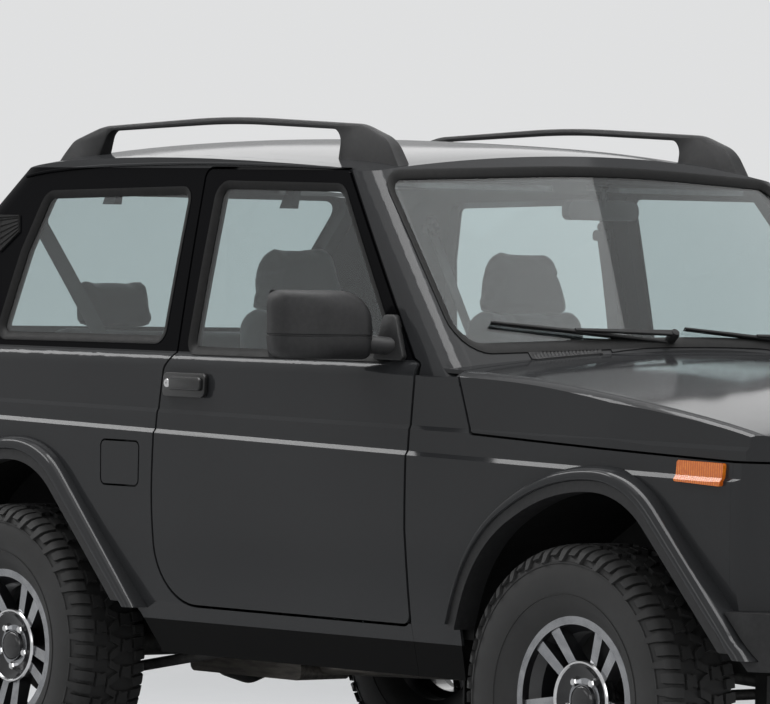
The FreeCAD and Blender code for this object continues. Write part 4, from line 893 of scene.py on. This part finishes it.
def lug(verts, faces, angle, stations, skew):
    """Add one tread block with tapered walls."""
    base = len(verts)
    for s, half in stations:
        r, w, (nr, nw) = carcass_at(s)
        mid = angle + skew * s / TYRE_R
        for level, spread in ((-1.5, 1.0), (LUG_HEIGHT, 0.0)):
            reach = min(r + nr * level, TYRE_R)
            for side in (-1, 1):
                verts.append(on_wheel(mid + side * (half + spread) / TYRE_R, reach, w + nw * level))
    count = len(stations)
    for i in range(count - 1):
        k, m = base + i * 4, base + i * 4 + 4
        faces.append((k + 2, k + 3, m + 3, m + 2))
        faces.append((k, k + 2, m + 2, m))
        faces.append((k + 1, m + 1, m + 3, k + 3))
        faces.append((k, m, m + 1, k + 1))
    for k in (base, base + (count - 1) * 4):
        faces.append((k, k + 1, k + 3, k + 2))


def tread():
    """All blocks; the two shoulders are a quarter of a pitch apart."""
    verts, faces = [], []
    step = TURN / PITCHES
    for i in range(PITCHES):
        for side in (-1, 1):
            start = i * step + (0.25 * step if side > 0 else 0)
            for share, stations, skew in SIDE_LUGS:
                lug(verts, faces, start + share * step, [(side * s, half) for s, half in stations],
                    skew * side)
        for share, stations, skew in CENTRE_LUGS:
            lug(verts, faces, (i + share) * step, stations, skew)
    return verts, faces


def wall_ridge(r0, r1, w):
    return (r0, w - 1.5), (r0 + 1, w + 1.6), (r1 - 1, w + 1.4), (r1, w - 2.5)


beads = [hoop(BEAD, side) for side in (-1, 1)]
ridges = [hoop(wall_ridge(*ridge), side) for side in (-1, 1) for ridge in WALL_RIDGES]
TYRE_VERTS, TYRE_FACES = joined([hoop(CARCASS), *beads, tread(), *ridges])
for corner, d, side in WHEELS:
    centre = at(d, side * WHEEL_Y, AXLE_Z)
    tyre = make_object("tread_tyre_" + corner, [v + centre for v in TYRE_VERTS], TYRE_FACES, TYRE,
                       "wheel_" + corner, "tyre")
    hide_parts("tyre_" + corner)


# Wheel nuts, dished centre caps and hub rings
HUB_FACE = 46
NUTS = 5
NUT_CIRCLE = 52
for corner, d, side in WHEELS:
    out = Vector((0, side, 0))
    hub = at(d, side * (WHEEL_Y + HUB_FACE), AXLE_Z)
    bolts = []
    for k in range(NUTS):
        a = TURN * (k + 0.5) / NUTS + math.pi / 2
        spot = hub + Vector((math.cos(a), 0, math.sin(a))) * NUT_CIRCLE * MM
        bolts.append(lathe([(-1, 0), (-1, 10.5), (9, 10.5), (12, 8), (12, 0)], spot, out, 6))
    make_object("wheel_nuts_" + corner, *joined(bolts), CHROME, "wheel_" + corner, "alloy", smooth=False)
    dish = lathe([(-24, 0), (-24, 84), (2, 87), (4, 84), (2, 80), (-7, 66), (-9, 40), (3, 36), (7, 31),
                  (8, 24), (9.5, 0)], hub + out * 9 * MM, out, 48)
    make_object("centre_cap_" + corner, *dish, BLACK_GLOSS, "wheel_" + corner, "black_plastic")
    ring = lathe([(-20, 85), (-20, 95), (3, 95), (6.5, 92), (6.5, 88), (3, 85)], hub + out * 9 * MM, out, 64)
    make_object("hub_ring_" + corner, *ring, CHROME, "wheel_" + corner, "alloy")


# Tailgate handle and lock, low on its outer face
GATE_TREE = surface("tailgate")


def on_gate(y, z, lift):
    """Point on the tailgate's outer face, lifted off it."""
    place, _ = cast(GATE_TREE, *rear_origin(y, z))
    return place - Vector((lift * MM, 0, 0))


grip = slab([(-78, 800, 12), (-78, 842, 12), (78, 842, 12), (78, 800, 12)],
            lambda u, v, t: on_gate(u, v, t - 1.5), 17, 4)
make_object("tailgate_handle", *grip, HANDLE_LOOK, "tailgate", "black_plastic")
barrel = lathe([(-2, 0), (-2, 15), (5, 15), (7, 12), (7, 4), (5, 3), (5, 0)], on_gate(0, 768, 0),
               Vector((-1, 0, 0)), 28)
make_object("tailgate_lock", *barrel, CHROME, "tailgate", "alloy")


# Wipers: tapered arms on their pivots and blades that lie along the windscreen, (y, z) to (y, z)
WIPERS = ((-100, 1178, -590, 1222), (480, 1166, -30, 1212))
GLASS_TREE = surface("fixed_glass")
GLASS_FOOT_Z = 1212
GLASS_LEAN = Vector((0.915, 0, -1))
BLADE_STEPS = 24
ARM_STEPS = 12


def on_screen(y, z):
    """Point on the windscreen, carried on down its slope below its foot, and the way out."""
    drop = max(0.0, GLASS_FOOT_Z - z)
    place, out = cast(GLASS_TREE, *front_origin(y, z + drop))
    return place + GLASS_LEAN * drop * MM, out


def along_screen(ends, shares):
    y0, z0, y1, z1 = ends
    return list(zip(*[on_screen(y0 + (y1 - y0) * t, z0 + (z1 - z0) * t) for t in shares]))


def bar_section(width, low, high):
    half = [(width - 1.5, high), (width, high - 1.5), (width, low)]
    return [(-x, z) for x, z in reversed(half)] + half


def wiper(ends):
    points, outs = along_screen(ends, [0.03 + 0.97 * i / BLADE_STEPS for i in range(BLADE_STEPS + 1)])
    rubber = sweep(points, outs, [[(-1, 1), (-2.6, 8), (2.6, 8), (1, 1)]] * len(points))
    tips = [abs(i - BLADE_STEPS / 2) / (BLADE_STEPS / 2) for i in range(BLADE_STEPS + 1)]
    spine = sweep(points, outs, [bar_section(4.5 - 1.5 * tip, 8, 15 - 2 * tip) for tip in tips])
    shares = [i / ARM_STEPS for i in range(ARM_STEPS + 1)]
    points, outs = along_screen(ends, [0.56 * t for t in shares])
    raised = [p + o * (24 - 8 * t) * MM + Vector((0, 0, 0.014 * (1 - t)))
              for p, o, t in zip(points, outs, shares)]
    arm = sweep(raised, outs, [bar_section(8 - 4.2 * t, -3, 4 - t) for t in shares])
    pivot = lathe([(-6, 0), (-6, 13), (24, 13), (31, 10), (33, 0)], points[0] + Vector((0, 0, 0.012)),
                  outs[0])
    return joined([rubber, spine, arm, pivot])


for k, ends in enumerate(WIPERS):
    piece = make_object(f"wiper_{k + 1}", *wiper(ends), PLASTIC, "body", "black_plastic")
    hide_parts("wipers")


# Mirror glass, door locks
for tag, sign in SIDES:
    shape = plate([(-1032, 1160, 30), (-1032, 1272, 36), (-850, 1272, 24), (-850, 1160, 24)],
                  lambda u, v, t: at(-849 - t, u, v), 3.0)
    make_object("mirror_glass_" + tag, *sided(shape, sign), MIRROR_GLASS, "door_" + tag, "light_alloy")
    shape = lathe([(-4, 0), (-4, 11), (3, 11), (4.5, 9.5), (4.5, 3.2), (2.5, 3.0), (2.5, 0)],
                  at(-1524, -813, 1056), Vector((0, -1, 0)), 32)
    make_object("door_lock_" + tag, *sided(shape, sign), CHROME, "door_" + tag, "alloy")


# Seat belts with their anchor loops, inner mirror and sun visors
def strap(path, face, width, thick=1.4):
    """Flat webbing along a path; face points out of its flat side."""
    points = [at(*p) for p in smooth_path([Vector(q) for q in path], 8)]
    half = width / 2
    section = [(-half, -thick / 2), (-half, thick / 2), (half, thick / 2), (half, -thick / 2)]
    return sweep(points, [Vector(face).normalized()] * len(points), [section] * len(points))


def belt_anchor(d, y, z):
    """Loop on the trim with its bolt."""
    loop = plate([(d - 30, z - 16, 10), (d - 30, z + 12, 12), (d + 30, z + 12, 12), (d + 30, z - 16, 10)],
                 lambda u, v, t: at(u, y + 6 - t, v), 12.0)
    bolt = lathe([(-14, 0), (-14, 12), (8, 12), (11, 9), (11, 0)], at(d, y - 2, z + 20),
                 Vector((0, 1, 0)), 20)
    return [loop, bolt]


for tag, sign in SIDES:
    front = strap([(-1572, -668, 1440), (-1572, -690, 1330), (-1572, -722, 1130), (-1568, -748, 880),
                   (-1556, -752, 640)], (0, -1, 0.25), 46)
    rear = strap([(-2262, -664, 1450), (-2150, -644, 1304), (-2040, -626, 1160), (-1926, -606, 1010)],
                 (0.8, -0.25, 0.55), 44)
    make_object("seat_belts_" + tag, *sided(joined([front, rear]), sign), BELT, "body", "seat_fabric",
                smooth=False)
    anchors = joined(belt_anchor(-1572, -664, 1446) + belt_anchor(-2264, -662, 1456))
    make_object("belt_anchors_" + tag, *sided(anchors, sign), CABIN, "body", "cabin_plastic")
    visor = plate([(-540, 0, 22), (-540, 150, 30), (-110, 150, 26), (-110, 0, 14)],
                  lambda u, v, t: at(-886 - v * 0.95, u, 1548 + v * 0.05 + t), 13.0)
    make_object("sun_visor_" + tag, *sided(visor, sign), VISOR, "body", "cabin_plastic")

case = plate([(-118, 1478, 18), (-118, 1528, 24), (118, 1528, 24), (118, 1478, 18)],
             lambda u, v, t: at(-848 + t, u, v), 24.0)
stem = lathe([(0, 0), (0, 8), (46, 7), (46, 12), (52, 12), (52, 0)], at(-830, 0, 1512),
             Vector((0.12, 0, 1)), 16)
make_object("inner_mirror", *joined([case, stem]), PLASTIC, "body", "black_plastic")


# Seats: side outline (d, z), extent in y, edge radius, channel spacing and taper of each piece
CHANNEL_DEPTH = 5.0
CHANNEL_HALF_WIDTH = 9.0
BOLSTER = 14.0
FRONT_SEAT = (
    ("cushion", [(-944, 596, 26), (-944, 714, 50), (-1385, 690, 26), (-1504, 690, 12), (-1504, 596, 12)],
     -606, -144, 40, 150),
    ("backrest", [(-1408, 708, 10), (-1494, 708, 20), (-1604, 1238, 50), (-1502, 1256, 46),
                  (-1457, 1000, 200)], -598, -152, 40, 150, 0.2),
    ("headrest", [(-1506, 1226, 18), (-1586, 1226, 18), (-1600, 1398, 40), (-1532, 1398, 34)],
     -516, -234, 44, 0, 0.28),
)
REAR_HEADREST = [(-2336, 1178, 14), (-2396, 1178, 14), (-2424, 1302, 30), (-2362, 1302, 28)]
REAR_SEAT = (
    ("cushion", [(-1739, 658, 10), (-1739, 800, 50), (-2211, 762, 16), (-2211, 658, 8)],
     -556, 556, 40, 185),
    ("backrest", [(-2222, 660, 8), (-2326, 660, 8), (-2418, 1172, 44), (-2306, 1190, 40)],
     -556, 556, 40, 185),
    ("headrest_right", REAR_HEADREST, -446, -214, 34, 0),
    ("headrest_left", REAR_HEADREST, 214, 446, 34, 0),
)

# Cloth simulation, in metres
START_SHRINK = 0.004
VOXEL = 0.011
LONGEST_MOVE = 0.009
PRESSURE = 4.0
LAST_FRAME = 16


def seat_form(profile, y0, y1, edge, waves, taper=0.0):
    """Padded form: side outline carried across the seat with rounded cheeks and sewn channels."""
    points = outlined(profile, 6, 30.0)
    centre_y, half = (y0 + y1) / 2, (y1 - y0) / 2
    low, high = min(p.y for p, _ in points), max(p.y for p, _ in points)
    rings = []
    for i in range(33):
        t = -1 + 2 * i / 32
        t = math.copysign(abs(t) ** 0.8, t)
        over = max(0.0, abs(t) * half - (half - edge)) / edge
        shrink = edge * (1 - math.sqrt(max(0.0, 1 - over * over)))
        channel = 0
        if waves:
            off = abs(((t * half) % waves) - waves / 2)
            channel = CHANNEL_DEPTH * max(0.0, 1 - off / CHANNEL_HALF_WIDTH)
        bolster = BOLSTER * max(0.0, abs(t) - 0.55) / 0.45 * (1 - over)
        ring = []
        for p, n in points:
            q = p - n * (shrink + channel - bolster * max(0.0, n.y * 0.5 + n.x * 0.6))
            rise = (q.y - low) / (high - low)
            ring.append(at(q.x, centre_y + t * half * (1 - taper * rise * rise), q.y))
        rings.append(ring)
    return solid(rings)


def evaluated(obj):
    return obj.evaluated_get(bpy.context.evaluated_depsgraph_get())


def puff(obj):
    """Fill a padded form with air as closed cloth, so that its faces crown and its edges pull in."""
    start = [v.co.copy() for v in obj.data.vertices]
    for v in obj.data.vertices:
        v.co = start[v.index] - v.normal * START_SHRINK
    remesh = obj.modifiers.new("even", "REMESH")
    remesh.mode = "VOXEL"
    remesh.voxel_size = VOXEL
    even = bpy.data.meshes.new_from_object(evaluated(obj))
    obj.modifiers.clear()
    obj.data = even
    even.polygons.foreach_set("use_smooth", [True] * len(even.polygons))
    rest = [v.co.copy() for v in even.vertices]
    cloth = obj.modifiers.new("air", "CLOTH")
    cloth.settings.quality = 4
    cloth.settings.use_pressure = True
    cloth.settings.uniform_pressure_force = PRESSURE
    cloth.settings.effector_weights.gravity = 0.0
    cloth.point_cache.frame_start, cloth.point_cache.frame_end = 1, 20
    for number in range(1, LAST_FRAME + 1):
        SCENE.frame_set(number)
    moved = [v.co.copy() for v in evaluated(obj).to_mesh().vertices]
    obj.modifiers.clear()
    for v, a, b in zip(even.vertices, rest, moved):
        step = b - a
        v.co = a + (step.normalized() * LONGEST_MOVE if step.length > LONGEST_MOVE else step)
    SCENE.frame_set(1)


def make_seat(name, shape, node):
    seat = make_object(name, *shape, FABRIC, "body", "seat_fabric")
    puff(seat)
    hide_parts(node)


for tag, sign in SIDES:
    for label, *form in FRONT_SEAT:
        make_seat(f"front_{label}_{tag}", sided(seat_form(*form), sign), "front_seats")
for label, *form in REAR_SEAT:
    make_seat("rear_" + label, seat_form(*form), "rear_seat")


# Floor and background
BACKGROUND = (0.74, 0.745, 0.75, 1.0)
FLOOR_REACH = 150.0
FADE_FROM = 3.2
FADE_TO = 9.0


def seen_rays(tree):
    """1 for rays that show the background: camera, glossy and transmitted."""
    path = add(tree, "ShaderNodeLightPath")
    first = calc(tree, "MAXIMUM", path.outputs["Is Camera Ray"], path.outputs["Is Glossy Ray"])
    return calc(tree, "MAXIMUM", first, path.outputs["Is Transmission Ray"])


def mix_shaders(tree, factor, first, second, target):
    mix = add(tree, "ShaderNodeMixShader")
    link(tree, factor, mix, "Fac")
    link(tree, first, mix, 1)
    link(tree, second, mix, 2)
    link(tree, mix.outputs["Shader"], target, "Surface")


def make_floor():
    """Pale matt floor that fades into the background away from the car."""
    mat, tree, shader = new_material("studio_floor")
    stops = [(0.0, (0.6, 0.602, 0.605)), (1.0, (0.63, 0.632, 0.635))]
    link(tree, ramp(tree, noise_tex(tree, 3.0, 2.0), stops), shader, "Base Color")
    give(shader, Roughness=0.6, Specular_IOR_Level=0.1)
    glow = add(tree, "ShaderNodeEmission")
    give(glow, Color=BACKGROUND)
    x, y, _ = position(tree)
    fade = add(tree, "ShaderNodeMapRange", interpolation_type="SMOOTHSTEP")
    give(fade, From_Min=FADE_FROM, From_Max=FADE_TO)
    link(tree, distance(tree, x, y), fade, "Value")
    factor = calc(tree, "MULTIPLY", fade.outputs["Result"], seen_rays(tree))
    mix_shaders(tree, factor, shader.outputs["BSDF"], glow.outputs["Emission"], tree.nodes["Material Output"])
    return mat


floor_data = bpy.data.meshes.new("floor")
floor_data.from_pydata([(-FLOOR_REACH, -FLOOR_REACH, 0), (FLOOR_REACH, -FLOOR_REACH, 0),
                        (FLOOR_REACH, FLOOR_REACH, 0), (-FLOOR_REACH, FLOOR_REACH, 0)], [], [(0, 1, 2, 3)])
floor_data.materials.append(make_floor())
floor = bpy.data.objects.new("floor", floor_data)
SCENE.collection.objects.link(floor)

world = bpy.data.worlds.new("studio")
SCENE.world = world
world.use_nodes = True
tree = world.node_tree
fill = tree.nodes["Background"]
give(fill, Color=(0.9, 0.95, 1.0, 1.0), Strength=0.32)
shown = add(tree, "ShaderNodeBackground")
give(shown, Color=BACKGROUND)
mix_shaders(tree, seen_rays(tree), fill.outputs["Background"], shown.outputs["Background"],
            tree.nodes["World Output"])

# Area lights: name, place, target, size, power
LIGHTS = (
    ("overhead", (-0.6, 0.2, 5.6), (0, 0, 0.6), (7.0, 5.0), 110),
    ("top_strip", (0.9, -0.6, 5.0), (0.9, -0.6, 0.8), (5.0, 1.3), 130),
    ("key_front", (6.4, -5.0, 3.6), (0.6, -0.4, 0.9), (5.0, 3.4), 120),
    ("nose_strip", (4.4, 1.2, 3.6), (1.6, -0.4, 1.0), (0.5, 3.6), 60),
    ("edge_light", (-4.2, -2.7, 4.4), (-4.2, -0.6, 1.0), (5.6, 1.1), 140),
    ("side_fill", (-1.0, -7.5, 3.2), (-0.4, 0, 0.8), (4.0, 1.6), 40),
    ("back_fill", (-6.5, 5.5, 4.5), (0, 0, 1.0), (4.0, 3.0), 60),
)
for name, place, target, size, power in LIGHTS:
    light = bpy.data.lights.new(name, "AREA")
    light.shape = "RECTANGLE"
    light.size, light.size_y = size
    light.energy = power
    lamp = bpy.data.objects.new(name, light)
    lamp.location = place
    lamp.rotation_euler = (Vector(target) - Vector(place)).to_track_quat("-Z", "Y").to_euler()
    SCENE.collection.objects.link(lamp)

# Camera, fitted to the photograph
CAMERA_PLACE = (12.4685, -10.8579, 1.399)
CAMERA_YAW = math.radians(140.0738)
CAMERA_PITCH = math.radians(-0.9002)
CAMERA_ROLL = math.radians(1.0925)
CAMERA_LENS = 307.21

level = math.cos(CAMERA_PITCH)
forward = Vector((level * math.cos(CAMERA_YAW), level * math.sin(CAMERA_YAW), math.sin(CAMERA_PITCH)))
right = forward.cross(Vector((0, 0, 1))).normalized()
up = right.cross(forward)
rolled_right = right * math.cos(CAMERA_ROLL) + up * math.sin(CAMERA_ROLL)
rolled_up = up * math.cos(CAMERA_ROLL) - right * math.sin(CAMERA_ROLL)
camera_data = bpy.data.cameras.new("camera")
camera_data.lens = CAMERA_LENS
camera_data.sensor_width = 36.0
camera_data.clip_start, camera_data.clip_end = 0.5, 300.0
camera = bpy.data.objects.new("camera", camera_data)
pose = Matrix((rolled_right, rolled_up, -forward)).transposed().to_4x4()
pose.translation = Vector(CAMERA_PLACE)
camera.matrix_world = pose
SCENE.collection.objects.link(camera)
SCENE.camera = camera
SCENE.view_settings.view_transform = "Standard"
